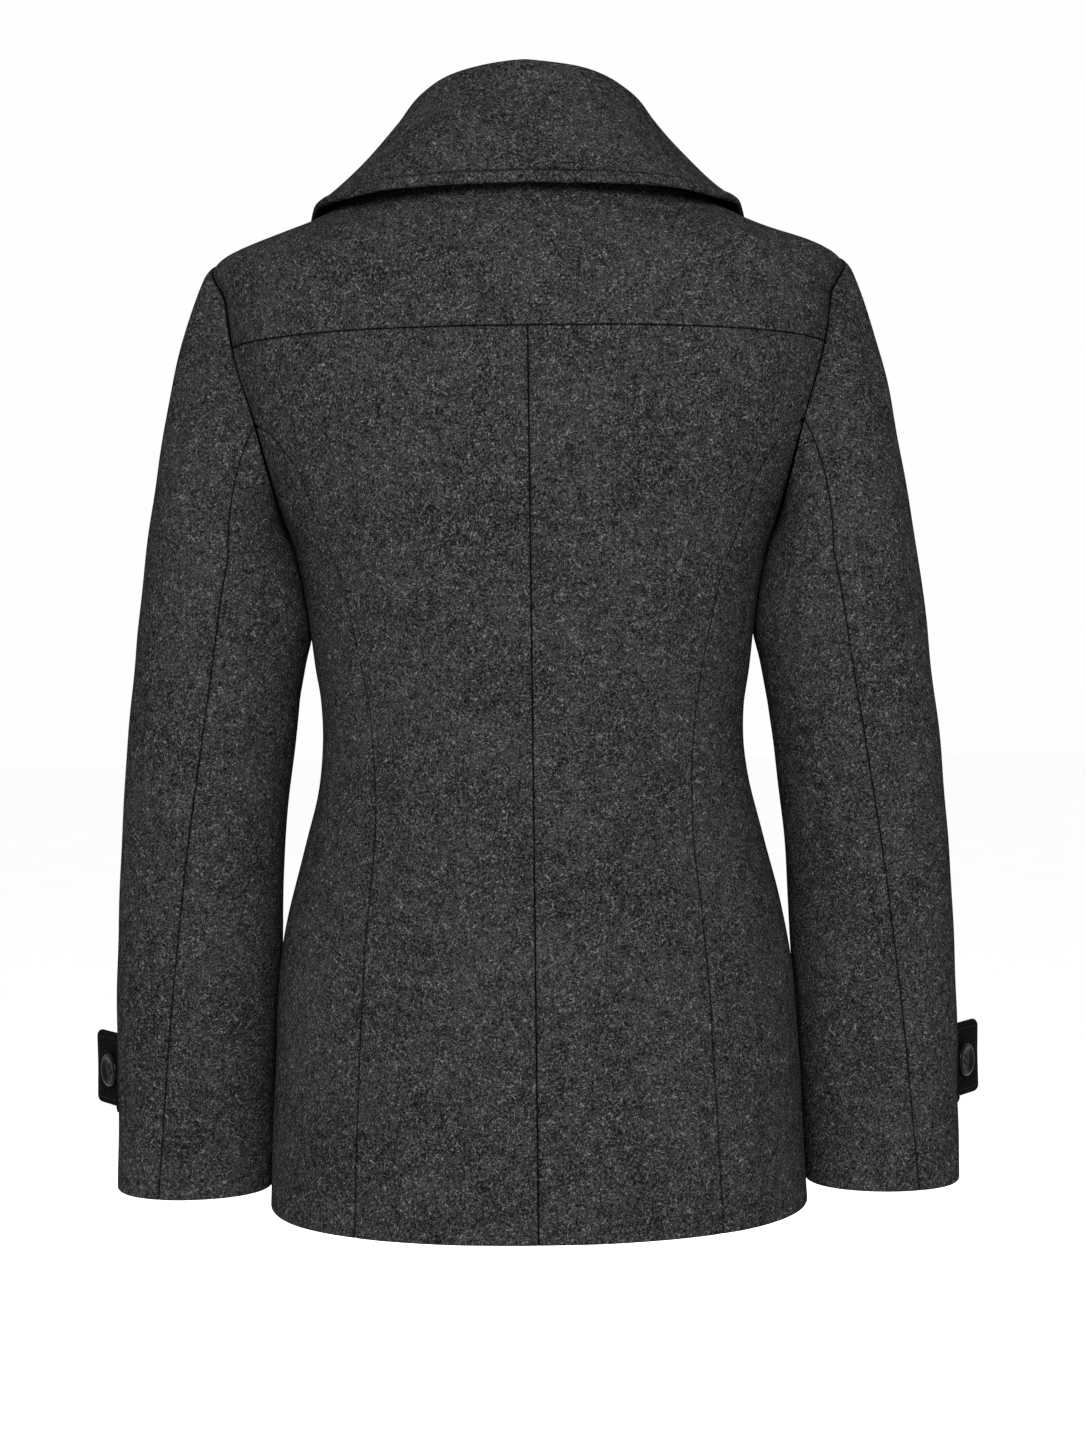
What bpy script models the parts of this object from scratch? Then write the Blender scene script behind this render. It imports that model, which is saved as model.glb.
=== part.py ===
"""Women's double-breasted pea coat in wool melton, filled out as it is worn.

Metres, +Z up. The wearer faces -Y and the wearer's left is +X. The origin is the middle of the
line between the two side-neck points. Every cloth piece is a closed wall of its own, built from
points of its outer face and the directions square to it. The coat is the same on both sides,
apart from the right front, which laps over the left.
"""

import bisect
import math

import bmesh
import bpy
from mathutils import Vector
from mathutils.bvhtree import BVHTree

COAT = "pea_coat"

# Cloth
WALL = 0.003  # melton panel
LEAF_WALL = 0.004  # collar, lapels and tabs: two layers sewn together
SEAM_GAP = 0.0003  # between two pieces along a seam

# Body lengths, down from the side-neck points
SHOULDER_TIP = -0.068
UNDERARM = -0.240
YOKE_SEAM = -0.132
BREAK_POINT = -0.262  # where the lapel starts to turn out
HEM = -0.700

# The torso's level rings, v being the ring's height at the side. Above the underarm a ring dips
# towards the back and the front by the heights in its row.
TORSO_COLUMNS = ("v", "half_width", "back", "front", "z_back", "z_front", "squareness")
TORSO_RINGS = (
    (0.000, 0.0780, 0.0640, 0.0680, 0.004, -0.078, 2.00),
    (-0.024, 0.1120, 0.0885, 0.0815, -0.027, -0.090, 1.95),
    (-0.046, 0.1495, 0.1070, 0.0955, -0.055, -0.103, 1.95),
    (SHOULDER_TIP, 0.2055, 0.1175, 0.1100, -0.080, -0.118, 2.00),
    (-0.100, 0.2050, 0.1210, 0.1220, -0.108, -0.136, 2.30),
    (-0.133, 0.2018, 0.1225, 0.1310, -0.136, -0.157, 2.50),
    (-0.162, 0.1943, 0.1225, 0.1380, -0.164, -0.179, 2.60),
    (-0.200, 0.1826, 0.1215, 0.1450, -0.201, -0.209, 2.60),
    (UNDERARM, 0.1660, 0.1190, 0.1475, -0.240, -0.240, 2.50),
    (BREAK_POINT, 0.1585, 0.1165, 0.1455, -0.262, -0.262, 2.40),
    (-0.300, 0.1510, 0.1115, 0.1390, -0.300, -0.300, 2.30),
    (-0.337, 0.1463, 0.1065, 0.1310, -0.337, -0.337, 2.20),
    (-0.377, 0.1413, 0.1020, 0.1225, -0.377, -0.377, 2.15),
    (-0.418, 0.1443, 0.1045, 0.1225, -0.418, -0.418, 2.15),
    (-0.458, 0.1538, 0.1125, 0.1275, -0.458, -0.458, 2.15),
    (-0.499, 0.1642, 0.1238, 0.1325, -0.499, -0.499, 2.20),
    (-0.541, 0.1715, 0.1322, 0.1370, -0.541, -0.541, 2.20),
    (-0.600, 0.1752, 0.1368, 0.1395, -0.600, -0.600, 2.20),
    (HEM, 0.1797, 0.1400, 0.1420, HEM, HEM, 2.20),
)
BODY_ROWS = (-0.262, -0.285, -0.310, -0.337, -0.363, -0.390, -0.418, -0.448, -0.480, -0.515,
             -0.550, -0.595, -0.645, HEM)

# The armhole, as an oval in ring height and angle about the coat's axis. Its steps are angles
# round it from the shoulder tip.
ARMHOLE_HALF_HEIGHT = (SHOULDER_TIP - UNDERARM) / 2
ARMHOLE_MIDDLE = (SHOULDER_TIP + UNDERARM) / 2
ARMHOLE_WIDTH = {"back": 15.5, "front": 17.5}  # degrees, at mid height
ARMHOLE_TAPER = {"above": 4.0, "below": 8.5}  # degrees narrower at the tip, wider at the bottom
YOKE_STEP = math.degrees(math.acos((YOKE_SEAM - ARMHOLE_MIDDLE) / ARMHOLE_HALF_HEIGHT))
PRINCESS_STEP = 110.0
ARMHOLE_STEPS = (0.0, 16.0, 32.0, 47.0, 62.0, YOKE_STEP, 93.0, PRINCESS_STEP, 127.0, 145.0,
                 163.0, 180.0)

# Back princess seam: distance from the centre back at each height
PRINCESS_COLUMNS = ("z", "x")
PRINCESS_SEAM = (
    (-0.183, 0.1785), (-0.193, 0.1665), (-0.208, 0.1545), (-0.222, 0.1461), (-0.243, 0.1390),
    (-0.286, 0.1227), (-0.326, 0.1135), (-0.365, 0.1062), (-0.410, 0.1022), (-0.447, 0.1016),
    (-0.499, 0.1057), (-0.550, 0.1093), (-0.608, 0.1121), (HEM, 0.1158),
)

# Sleeve sections below the underarm
SLEEVE_TOP = -0.270
SLEEVE_HEM = -0.691
SLEEVE_COLUMNS = ("z", "inner", "outer", "half_depth", "forward")
SLEEVE_SECTIONS = (
    (-0.250, 0.1620, 0.2562, 0.0675, 0.001),
    (SLEEVE_TOP, 0.1584, 0.2588, 0.0665, 0.001),
    (-0.290, 0.1545, 0.2615, 0.0650, 0.001),
    (-0.317, 0.1509, 0.2651, 0.0630, 0.000),
    (-0.337, 0.1538, 0.2671, 0.0615, -0.001),
    (-0.377, 0.1595, 0.2718, 0.0595, -0.002),
    (-0.418, 0.1649, 0.2755, 0.0575, -0.004),
    (-0.458, 0.1690, 0.2786, 0.0555, -0.006),
    (-0.499, 0.1713, 0.2813, 0.0540, -0.008),
    (-0.539, 0.1729, 0.2830, 0.0525, -0.009),
    (-0.580, 0.1754, 0.2840, 0.0515, -0.010),
    (-0.633, 0.1780, 0.2842, 0.0500, -0.012),
    (SLEEVE_HEM, 0.1808, 0.2850, 0.0490, -0.012),
)
SLEEVE_UPPER = (0.0, 0.025, 0.08, 0.18, 0.34, 0.54, 0.77, 1.0)  # shares of the way down
SLEEVE_ROWS = (-0.300, -0.335, -0.375, -0.420, -0.465, -0.515, -0.570, -0.630, SLEEVE_HEM)
BACK_SEAM_COLUMNS = ("z", "x")
SLEEVE_BACK_SEAM = (
    (SLEEVE_TOP, 0.1952), (-0.299, 0.2008), (-0.332, 0.2060), (-0.397, 0.2165),
    (-0.462, 0.2269), (-0.528, 0.2354), (-0.593, 0.2425), (-0.659, 0.2485), (SLEEVE_HEM, 0.2512),
)
FRONT_SEAM_STEP = -127.0
HEAD_RISE = 0.0036  # how far the eased sleeve head stands above the shoulder
HEAD_ROLL = 0.016  # share of the sleeve's path in which it rises
UNDERARM_CLEAR = 0.0022

# Fronts, seen from the front: the roll line from the neckline to the break point
NECK_END = math.radians(125.0)
OVERLAP = 0.085
ROLL_CROSSING = -0.142
ROLL_STATIONS = (-0.050, -0.078, -0.104, -0.128, -0.165, -0.198, -0.224, -0.245)
SIDE_FRONT_COLUMNS = 3  # from the side seam and the armhole to the front princess seam
LAP_COLUMNS = 5  # across the lap, at the same places on both fronts
OVER_LIFT = 0.0036  # the right front over the left
SOFT_LIFT = 0.0011  # more above the break point
LIFT_EASE = 0.026
LIFT_AHEAD = 0.036

# Lapel, seen from the front
GORGE_SHARE = 0.6  # of the lapel's top edge, sewn to the collar
LAPEL_TIP = (0.142, -0.104)
LAPEL_BELLY = (0.055, -0.196)
LAPEL_COLUMNS = (0.0, 0.2, 0.4, GORGE_SHARE, 0.8, 1.0)
LAPEL_END = -0.2575
LAST_LAPEL_SHARE = 0.965  # of the outer edge, the rest being under 3 mm wide
LEAF_EARLY = 0.014  # the leaf rises over the lap before the front does
LEAF_CLEAR = 0.0028
ROLL_CLEAR = 0.0028  # more at the roll line, where the lapel is soft
LAPEL_FOLD = {
    "middle": (ROLL_CLEAR + LEAF_WALL - WALL) / 2,
    "radius": (ROLL_CLEAR + LEAF_WALL + WALL) / 2,
}
UNDER_LAPEL_END = -0.128
UNDER_LAPEL_FOOT = (0.0405, -0.1815)

# Collar. Stations run from the centre back to the collar's front end.
COLLAR_STATIONS = 14
STAND_COLUMNS = ("station", "height", "lean")
STAND = (
    (0.00, 0.0450, -0.0002),
    (0.30, 0.0440, -0.0045),
    (0.50, 0.0425, -0.0090),
    (0.70, 0.0370, -0.0085),
    (0.85, 0.0230, -0.0055),
    (1.00, 0.0085, -0.0030),
)
FOLD_RADIUS_COLUMNS = ("station", "radius")
FOLD_RADIUS = ((0.0, 0.0068), (0.7, 0.0066), (1.0, LAPEL_FOLD["radius"]))
COLLAR_MERGE = 0.8  # from here the stand runs into the lapel's fold
COLLAR_EDGE_COLUMNS = ("station", "x", "y", "z")
COLLAR_EDGE = (
    (0.00, 0.0000, 0.1120, -0.0400),
    (0.17, 0.0440, 0.1085, -0.0400),
    (0.34, 0.0880, 0.0960, -0.0392),
    (0.50, 0.1160, 0.0750, -0.0395),
    (0.63, 0.1345, 0.0420, -0.0390),
    (0.76, 0.1455, 0.0040, -0.0370),
    (0.88, 0.1540, -0.0350, -0.0430),
    (1.00, 0.1520, -0.0740, -0.0680),
)
COLLAR_POINT = (0.152, -0.068)  # seen from the front
FALL_BELLY = 0.0035  # at the back; the sides are hollow
FALL_SHARES = (0.0, 0.21, 0.42, 0.63, 0.82, 1.0)
NOTCH_SHARE = 0.63
COLLAR_CLEAR = 0.0062  # the fall's outer face above the shoulder
COLLAR_FRONT_CLEAR = 0.0012  # more where it passes over the front of the shoulder
STAND_POINTS = 3  # of a collar station lie on the stand, up to where the collar folds over

# Cuff tabs
TAB_MIDDLE = -0.615
TAB_HEIGHT = 0.0506
TAB_CORNER = 0.0045
TAB_SEAT = 0.010
TAB_BEND = 0.012
TAB_STRAIGHT = 0.032
TAB_TURN = math.radians(35.0)
TAB_BUTTON_FROM_END = 0.027
SLEEVE_SQUARENESS = 2.1

# Buttons
FRONT_BUTTON = {"radius": 0.0150, "thickness": 0.0050}
CUFF_BUTTON = {"radius": 0.0114, "thickness": 0.0046}
BUTTON_SPACING = 0.055
BUTTON_HEIGHTS = (-0.290, -0.390, -0.490)

MELTON = (0.045, 0.047, 0.052, 1.0)
TAB_CLOTH = (0.030, 0.031, 0.034, 1.0)
HORN = (0.012, 0.011, 0.011, 1.0)


class Table:
    """A short table of rows with named columns, read by a smooth cubic through its rows."""

    def __init__(self, columns, rows):
        ordered = sorted(rows)
        self.names = columns[1:]
        self.keys = [row[0] for row in ordered]
        self.rows = [row[1:] for row in ordered]
        self.slopes = [self._slopes(k) for k in range(len(self.names))]

    def _slopes(self, column):
        keys = self.keys
        values = [row[column] for row in self.rows]
        last = len(keys) - 1
        steps = [(values[i + 1] - values[i]) / (keys[i + 1] - keys[i]) for i in range(last)]
        slopes = [steps[0]]
        for i in range(1, last):
            before = keys[i] - keys[i - 1]
            after = keys[i + 1] - keys[i]
            slopes.append((steps[i - 1] * after + steps[i] * before) / (before + after))
        slopes.append(steps[-1])
        return slopes

    def at(self, key):
        """The row at a key, as a dictionary of its columns."""
        key = min(max(key, self.keys[0]), self.keys[-1])
        i = min(max(bisect.bisect_right(self.keys, key) - 1, 0), len(self.keys) - 2)
        span = self.keys[i + 1] - self.keys[i]
        t = (key - self.keys[i]) / span
        first = (1 + 2 * t) * (1 - t) ** 2
        second = t * t * (3 - 2 * t)
        out = {}
        for k, name in enumerate(self.names):
            slope_in = self.slopes[k][i] * span
            slope_out = self.slopes[k][i + 1] * span
            out[name] = (
                first * self.rows[i][k]
                + second * self.rows[i + 1][k]
                + t * (1 - t) ** 2 * slope_in
                - t * t * (1 - t) * slope_out
            )
        return out


TORSO = Table(TORSO_COLUMNS, TORSO_RINGS)
PRINCESS = Table(PRINCESS_COLUMNS, PRINCESS_SEAM)
SLEEVE = Table(SLEEVE_COLUMNS, SLEEVE_SECTIONS)
ELBOW_SEAM = Table(BACK_SEAM_COLUMNS, SLEEVE_BACK_SEAM)
STAND_AT = Table(STAND_COLUMNS, STAND)
FOLD_AT = Table(FOLD_RADIUS_COLUMNS, FOLD_RADIUS)
EDGE_AT = Table(COLLAR_EDGE_COLUMNS, COLLAR_EDGE)


def smooth(value):
    """0 below 0, 1 above 1 and eased between."""
    t = min(max(value, 0.0), 1.0)
    return t * t * (3 - 2 * t)


def solve(function, low, high, turns=40):
    """The value between low and high where the function crosses zero."""
    sign = function(low) > 0
    for _ in range(turns):
        middle = (low + high) / 2
        if (function(middle) > 0) == sign:
            low = middle
        else:
            high = middle
    return (low + high) / 2


# ---------------------------------------------------------------- torso


def torso_point(angle, v):
    """A point of the coat's outer face. The angle runs from the centre back to the left side."""
    ring = TORSO.at(v)
    cos, sin = math.cos(angle), math.sin(angle)
    depth, z_middle = (ring["back"], ring["z_back"]) if cos > 0 else (ring["front"], ring["z_front"])
    power = ring["squareness"]
    reach = (abs(cos) / depth) ** power + (abs(sin) / ring["half_width"]) ** power
    radius = reach ** (-1 / power)
    return Vector((radius * sin, radius * cos, v * sin * sin + z_middle * cos * cos))


def torso_frame(angle, v):
    """A point of the outer face and the direction square to it, pointing out of the coat."""
    turn, drop = 0.012, 0.0012
    v_high, v_low = min(v + drop, 0.0), max(v - drop, HEM)
    along = torso_point(angle + turn, v) - torso_point(angle - turn, v)
    up = torso_point(angle, v_high) - torso_point(angle, v_low)
    return torso_point(angle, v), up.cross(along).normalized()


def level_v(angle, z):
    """The ring that passes through a height at this angle."""
    return solve(lambda v: torso_point(angle, v).z - z, HEM, 0.0)


def armhole_place(step):
    """Angle and ring of a place on the left armhole, by its step from the tip: + is behind."""
    turn = math.radians(step)
    side = "back" if math.sin(turn) >= 0 else "front"
    taper = ARMHOLE_TAPER["above" if math.cos(turn) > 0 else "below"]
    width = math.radians(ARMHOLE_WIDTH[side] - taper * math.cos(turn))
    angle = math.pi / 2 - width * math.sin(turn)
    return angle, ARMHOLE_MIDDLE + ARMHOLE_HALF_HEIGHT * math.cos(turn)


def princess_angle(v):
    def beyond(angle):
        point = torso_point(angle, v)
        return point.x - PRINCESS.at(point.z)["x"]

    return solve(beyond, 0.0, math.pi / 2)


def roll_x(z):
    """The roll line seen from the front, on the left front: sideways place at a height."""
    start = torso_point(NECK_END, 0.0)
    upper = (ROLL_CROSSING - z) / (ROLL_CROSSING - start.z)
    lower = (ROLL_CROSSING - z) / (ROLL_CROSSING - BREAK_POINT)
    if z >= ROLL_CROSSING:
        return start.x * min(upper, 1.0)
    return -OVERLAP * min(lower, 1.0)


def front_place(x, z):
    """Angle and ring of the point of the torso's front that shows at (x, z) from the front."""
    angle, v = math.pi - math.atan2(x, 0.12), min(z * 0.9, -0.002)
    for _ in range(14):
        here = torso_point(angle, v)
        by_angle = (torso_point(angle + 1e-4, v) - here) / 1e-4
        upper = min(v + 1e-5, 0.0)
        by_v = (torso_point(angle, upper) - torso_point(angle, upper - 1e-5)) / 1e-5
        size = by_angle.x * by_v.z - by_angle.z * by_v.x
        off_x, off_z = x - here.x, z - here.z
        angle += max(-0.3, min(0.3, (off_x * by_v.z - off_z * by_v.x) / size))
        v += max(-0.03, min(0.03, (by_angle.x * off_z - by_angle.z * off_x) / size))
        v = min(max(v, HEM), -1e-6)
    return angle, v


def over_lift(point, early=0.0):
    """How far the lapping front is lifted at a point, the front being drawn as a left one."""
    under_edge = -roll_x(point.z)
    lift = OVER_LIFT + SOFT_LIFT * smooth((point.z - BREAK_POINT + 0.01) / 0.03)
    return lift * smooth((under_edge + LIFT_AHEAD + early - point.x) / LIFT_EASE)


def front_frame(angle, v, over, early=0.0):
    point, normal = torso_frame(angle, v)
    if over:
        point = point + normal * over_lift(point, early)
    return point, normal


# ---------------------------------------------------------------- walls


def row_between(first, last, count):
    """Angles and rings along a straight row between two places, ends included."""
    return [
        (first[0] + (last[0] - first[0]) * i / count, first[1] + (last[1] - first[1]) * i / count)
        for i in range(count + 1)
    ]


def inset(grid, sides):
    """Moves the edges of a grid of (point, direction) inwards by half a seam gap."""
    rows, columns = len(grid), len(grid[0])
    moved = [[point.copy() for point, _ in row] for row in grid]

    def shift(cell, before, after, inner):
        point, normal = grid[cell[0]][cell[1]]
        along = grid[after[0]][after[1]][0] - grid[before[0]][before[1]][0]
        inward = normal.cross(along).normalized()
        if inward.dot(grid[inner[0]][inner[1]][0] - point) < 0:
            inward.negate()
        moved[cell[0]][cell[1]] += inward * (SEAM_GAP / 2)

    for r in range(rows):
        before, after = max(r - 1, 0), min(r + 1, rows - 1)
        if "first_column" in sides:
            shift((r, 0), (before, 0), (after, 0), (r, 1))
        if "last_column" in sides:
            end = columns - 1
            shift((r, end), (before, end), (after, end), (r, end - 1))
    for c in range(columns):
        before, after = max(c - 1, 0), min(c + 1, columns - 1)
        if "first_row" in sides:
            shift((0, c), (0, before), (0, after), (1, c))
        if "last_row" in sides:
            end = rows - 1
            shift((end, c), (end, before), (end, after), (end - 1, c))
    return [
        [(moved[r][c], grid[r][c][1]) for c in range(columns)]
        for r in range(rows)
    ]


ALL_SIDES = ("first_column", "last_column", "first_row", "last_row")
SLEEVE_SIDES = ("first_column", "last_column")


def wall_mesh(name, outer, inner):
    """A closed wall between two grids of points."""
    rows, columns = len(outer), len(outer[0])
    points = [p for row in outer for p in row] + [p for row in inner for p in row]
    back = rows * columns

    def cell(r, c):
        return r * columns + c

    faces = []
    for r in range(rows - 1):
        for c in range(columns - 1):
            ring = (cell(r, c), cell(r, c + 1), cell(r + 1, c + 1), cell(r + 1, c))
            faces.append(ring)
            faces.append(tuple(back + i for i in reversed(ring)))
    rim = [cell(0, c) for c in range(columns)]
    rim += [cell(r, columns - 1) for r in range(1, rows)]
    rim += [cell(rows - 1, c) for c in range(columns - 2, -1, -1)]
    rim += [cell(r, 0) for r in range(rows - 2, 0, -1)]
    for i, j in zip(rim, rim[1:] + rim[:1]):
        # Facing seam walls start at like corners, so that they bend along like diagonals.
        ring = (j, i, back + i, back + j)
        faces.append(ring if j < i else ring[1:] + ring[:1])
    mesh = bpy.data.meshes.new(name)
    mesh.from_pydata([tuple(p) for p in points], [], faces)
    return mesh


def place(name, mesh, material, parts):
    """Puts a mesh in the coat's collection, with its faces pointing out and smooth shading."""
    shell = bmesh.new()
    shell.from_mesh(mesh)
    bmesh.ops.recalc_face_normals(shell, faces=shell.faces)
    shell.to_mesh(mesh)
    shell.free()
    mesh.materials.append(material)
    mesh.shade_smooth()
    mesh.set_sharp_from_angle(angle=math.radians(40))
    obj = bpy.data.objects.new(name, mesh)
    parts.objects.link(obj)
    return obj


def mirrored(grid):
    flip = Vector((-1, 1, 1))
    return [[(point * flip, normal * flip) for point, normal in row] for row in grid]


def panel(name, grid, material, parts, thickness=WALL, sides=ALL_SIDES):
    """A cloth piece from a grid of places on its outer face, set back from its seams."""
    grid = inset(grid, sides)
    outer = [[point for point, _ in row] for row in grid]
    inner = [[point - normal * thickness for point, normal in row] for row in grid]
    return place(name, wall_mesh(name, outer, inner), material, parts)


# ---------------------------------------------------------------- back and sides

YOKE_HALF_COLUMNS = 7
BACK_COLUMNS = YOKE_HALF_COLUMNS
SIDE_COLUMNS = 5
TIP_SHARE = 0.22
SHOULDER_ROWS = (0.0, -0.012, -0.024, -0.035, -0.046, -0.057)


def yoke_grid():
    seam_height = torso_point(*armhole_place(YOKE_STEP)).z
    ends = [(math.pi / 2, v) for v in SHOULDER_ROWS]
    ends += [armhole_place(step) for step in ARMHOLE_STEPS if step <= YOKE_STEP]
    grid = []
    for end, v in ends:
        count = YOKE_HALF_COLUMNS
        angles = [end * i / count for i in range(-count, count + 1)]
        at_seam = (end, v) == ends[-1]
        grid.append([torso_frame(a, level_v(a, seam_height) if at_seam else v) for a in angles])
    return grid


def back_grid():
    seam_height = torso_point(*armhole_place(YOKE_STEP)).z
    places = [armhole_place(step) for step in ARMHOLE_STEPS if YOKE_STEP <= step <= PRINCESS_STEP]
    lower = [armhole_place(step)[1] for step in ARMHOLE_STEPS if step > PRINCESS_STEP]
    places += [(princess_angle(v), v) for v in (*lower, *BODY_ROWS)]
    grid = []
    for row, (end, v) in enumerate(places):
        angles = [end * i / BACK_COLUMNS for i in range(BACK_COLUMNS + 1)]
        grid.append([torso_frame(a, v if row else level_v(a, seam_height)) for a in angles])
    return grid


def side_back_grid():
    corner = torso_frame(*armhole_place(PRINCESS_STEP))
    rows = []
    for step in ARMHOLE_STEPS:
        if step > PRINCESS_STEP:
            end, v = armhole_place(step)
            rows.append(row_between((princess_angle(v), v), (end, v), SIDE_COLUMNS))
    for v in BODY_ROWS:
        rows.append(row_between((princess_angle(v), v), (math.pi / 2, v), SIDE_COLUMNS))
    grid = [[torso_frame(*spot) for spot in row] for row in rows]
    tip = [
        (corner[0].lerp(point, TIP_SHARE), corner[1].lerp(normal, TIP_SHARE).normalized())
        for point, normal in grid[0]
    ]
    return [tip] + grid


# ---------------------------------------------------------------- fronts


def front_edge_places():
    """Places down the neckline, the roll line and the front edge, one for each row."""
    neckline = [(math.pi / 2 + (NECK_END - math.pi / 2) * i / 3, 0.0) for i in range(4)]
    rolled = [front_place(roll_x(z), z) for z in ROLL_STATIONS]
    straight = [front_place(-OVERLAP, v) for v in BODY_ROWS]
    return neckline + rolled + straight


def front_shares(near, far):
    """Where the columns cross a row of a front: evenly, or in a lapped row at set places."""
    count = SIDE_FRONT_COLUMNS + 2 + LAP_COLUMNS
    even = [i / count for i in range(count + 1)]
    edge = torso_point(*far)
    lapped = smooth((ROLL_CROSSING - 0.02 - edge.z) / 0.08)
    if lapped == 0:
        return even

    def share_at(x):
        def beyond(share):
            spot = [a + (b - a) * share for a, b in zip(near, far)]
            return torso_point(*spot).x - x

        return solve(beyond, 0.0, 1.0)

    lap = abs(edge.x)
    start = share_at(lap + LIFT_AHEAD)
    shares = [start * i / SIDE_FRONT_COLUMNS for i in range(SIDE_FRONT_COLUMNS + 1)]
    shares.append(share_at(lap + LIFT_AHEAD - LIFT_EASE))
    for i in range(LAP_COLUMNS):
        shares.append(share_at(lap * (1 - 2 * i / LAP_COLUMNS)))
    shares.append(1.0)
    return [a + (b - a) * lapped for a, b in zip(even, shares)]


def front_grid(over):
    outer_places = [armhole_place(-step) for step in ARMHOLE_STEPS]
    outer_places += [(math.pi / 2, v) for v in BODY_ROWS]
    edge = front_edge_places()
    grid = []
    for near, far in zip(outer_places, edge):
        row = [
            [a + (b - a) * share for a, b in zip(near, far)]
            for share in front_shares(near, far)
        ]
        grid.append([front_frame(*spot, over) for spot in row])
    return grid


def split_front(grid):
    """The side front and the front, on either side of the front princess seam."""
    seam = SIDE_FRONT_COLUMNS
    return [row[: seam + 1] for row in grid], [row[seam:] for row in grid]


# ---------------------------------------------------------------- lapels


def bezier(first, middle, last, t):
    return tuple(
        a * (1 - t) ** 2 + 2 * b * t * (1 - t) + c * t * t
        for a, b, c in zip(first, middle, last)
    )


def lapel_lines(over):
    """Matching (roll line, outer edge) points down the lapel, seen from the front."""
    start = torso_point(NECK_END, 0.0)
    roll = [(start.x, start.z)]
    roll += [(roll_x(z), z) for z in ROLL_STATIONS]
    break_place = (-OVERLAP, BREAK_POINT)
    if over:
        roll.append((roll_x(LAPEL_END), LAPEL_END))
        rows = len(roll) - 1
        shares = [LAST_LAPEL_SHARE * i / rows for i in range(rows + 1)]
    else:
        roll = [spot for spot in roll if spot[1] > UNDER_LAPEL_END - 0.001]
        rows = len(roll) - 1
        foot = solve(
            lambda t: bezier(LAPEL_TIP, LAPEL_BELLY, break_place, t)[0] - UNDER_LAPEL_FOOT[0],
            0.0, 1.0,
        )
        shares = [foot * i / rows for i in range(rows + 1)]
    edge = [bezier(LAPEL_TIP, LAPEL_BELLY, break_place, t) for t in shares]
    return list(zip(roll, edge))


def roll_frame(over, line, row):
    """On the roll line: a point, the direction square to the front and the one past its edge."""
    place_of = [front_frame(*front_place(*spot), over) for spot in line[max(row - 1, 0): row + 2]]
    point, normal = front_frame(*front_place(*line[row]), over)
    along = place_of[-1][0] - place_of[0][0]
    away = normal.cross(along).normalized()
    if away.x > 0:
        away.negate()
    return point, normal, away


def lapel_grids(over):
    """Outer and inner points of a lapel: the leaf on the front, then the fold round its edge."""
    lines = lapel_lines(over)
    outer, inner = [], []
    roll_line = [roll for roll, _ in lines]
    for row, (roll, edge) in enumerate(lines):
        clear_line, face_line = [], []
        for share in reversed(LAPEL_COLUMNS):
            x = roll[0] + (edge[0] - roll[0]) * share
            z = roll[1] + (edge[1] - roll[1]) * share
            early = LEAF_EARLY * min(share / 0.2, 1.0)
            point, normal = front_frame(*front_place(x, z), over, early)
            clear = LEAF_CLEAR + (ROLL_CLEAR - LEAF_CLEAR) * (1 - smooth(share / 0.4))
            clear_line.append(point + normal * clear)
            face_line.append(point + normal * (clear + LEAF_WALL))
        point, normal, away = roll_frame(over, roll_line, row)
        middle, radius, bottom = LAPEL_FOLD["middle"], LAPEL_FOLD["radius"], -WALL
        for turn, across, height in (
            (50, SEAM_GAP, ROLL_CLEAR),
            (90, SEAM_GAP * 1.2, middle),
            (135, SEAM_GAP * 1.2, bottom * 0.6),
        ):
            out = math.radians(turn)
            face_line.append(
                point + away * radius * math.sin(out) + normal * (middle + radius * math.cos(out))
            )
            clear_line.append(point + away * across + normal * height)
        face_line.append(point + away * radius * 0.35 + normal * bottom)
        clear_line.append(point + away * SEAM_GAP + normal * bottom)
        outer.append(face_line)
        inner.append(clear_line)
    for line in (outer, inner):
        gap = line[1][0] - line[0][0]
        shift = [gap.normalized() * SEAM_GAP * 1.5 for _ in line[0]]
        line[0] = [p + s for p, s in zip(line[0], shift)]
    return outer, inner


# ---------------------------------------------------------------- collar


def shoulder_height(x, y):
    """Height of the torso's outer face under a point near the shoulder."""
    angle, radius = math.atan2(x, y), math.hypot(x, y)
    floor = UNDERARM

    def beyond(v):
        point = torso_point(angle, v)
        return math.hypot(point.x, point.y) - radius

    low = floor if beyond(floor) > 0 else SHOULDER_TIP
    return torso_point(angle, solve(beyond, low, 0.0)).z


def draped(point, clear):
    """The point, kept softly above the torso by a vertical clearance."""
    floor = shoulder_height(point.x, point.y) + clear
    softness = 0.004
    above = (point.z - floor) / softness
    lift = math.log1p(math.exp(-abs(above))) + max(above, 0.0)
    return Vector((point.x, point.y, floor + softness * lift))


def collar_end_line(share):
    """The collar's front end as it lies on the front: along the gorge, then to its point."""
    start = torso_point(NECK_END, 0.0)
    gorge = (start.x, start.z)
    notch = tuple(a + (b - a) * GORGE_SHARE for a, b in zip(gorge, LAPEL_TIP))
    if share <= NOTCH_SHARE:
        t = share / NOTCH_SHARE
        x, z = (a + (b - a) * t for a, b in zip(gorge, notch))
    else:
        t = (share - NOTCH_SHARE) / (1 - NOTCH_SHARE)
        x, z = (a + (b - a) * t for a, b in zip(notch, COLLAR_POINT))
    point, normal = torso_frame(*front_place(x, z))
    clear = LEAF_CLEAR + (ROLL_CLEAR - LEAF_CLEAR) * (1 - smooth(share / 0.3))
    return point + normal * (clear + LEAF_WALL)


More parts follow.
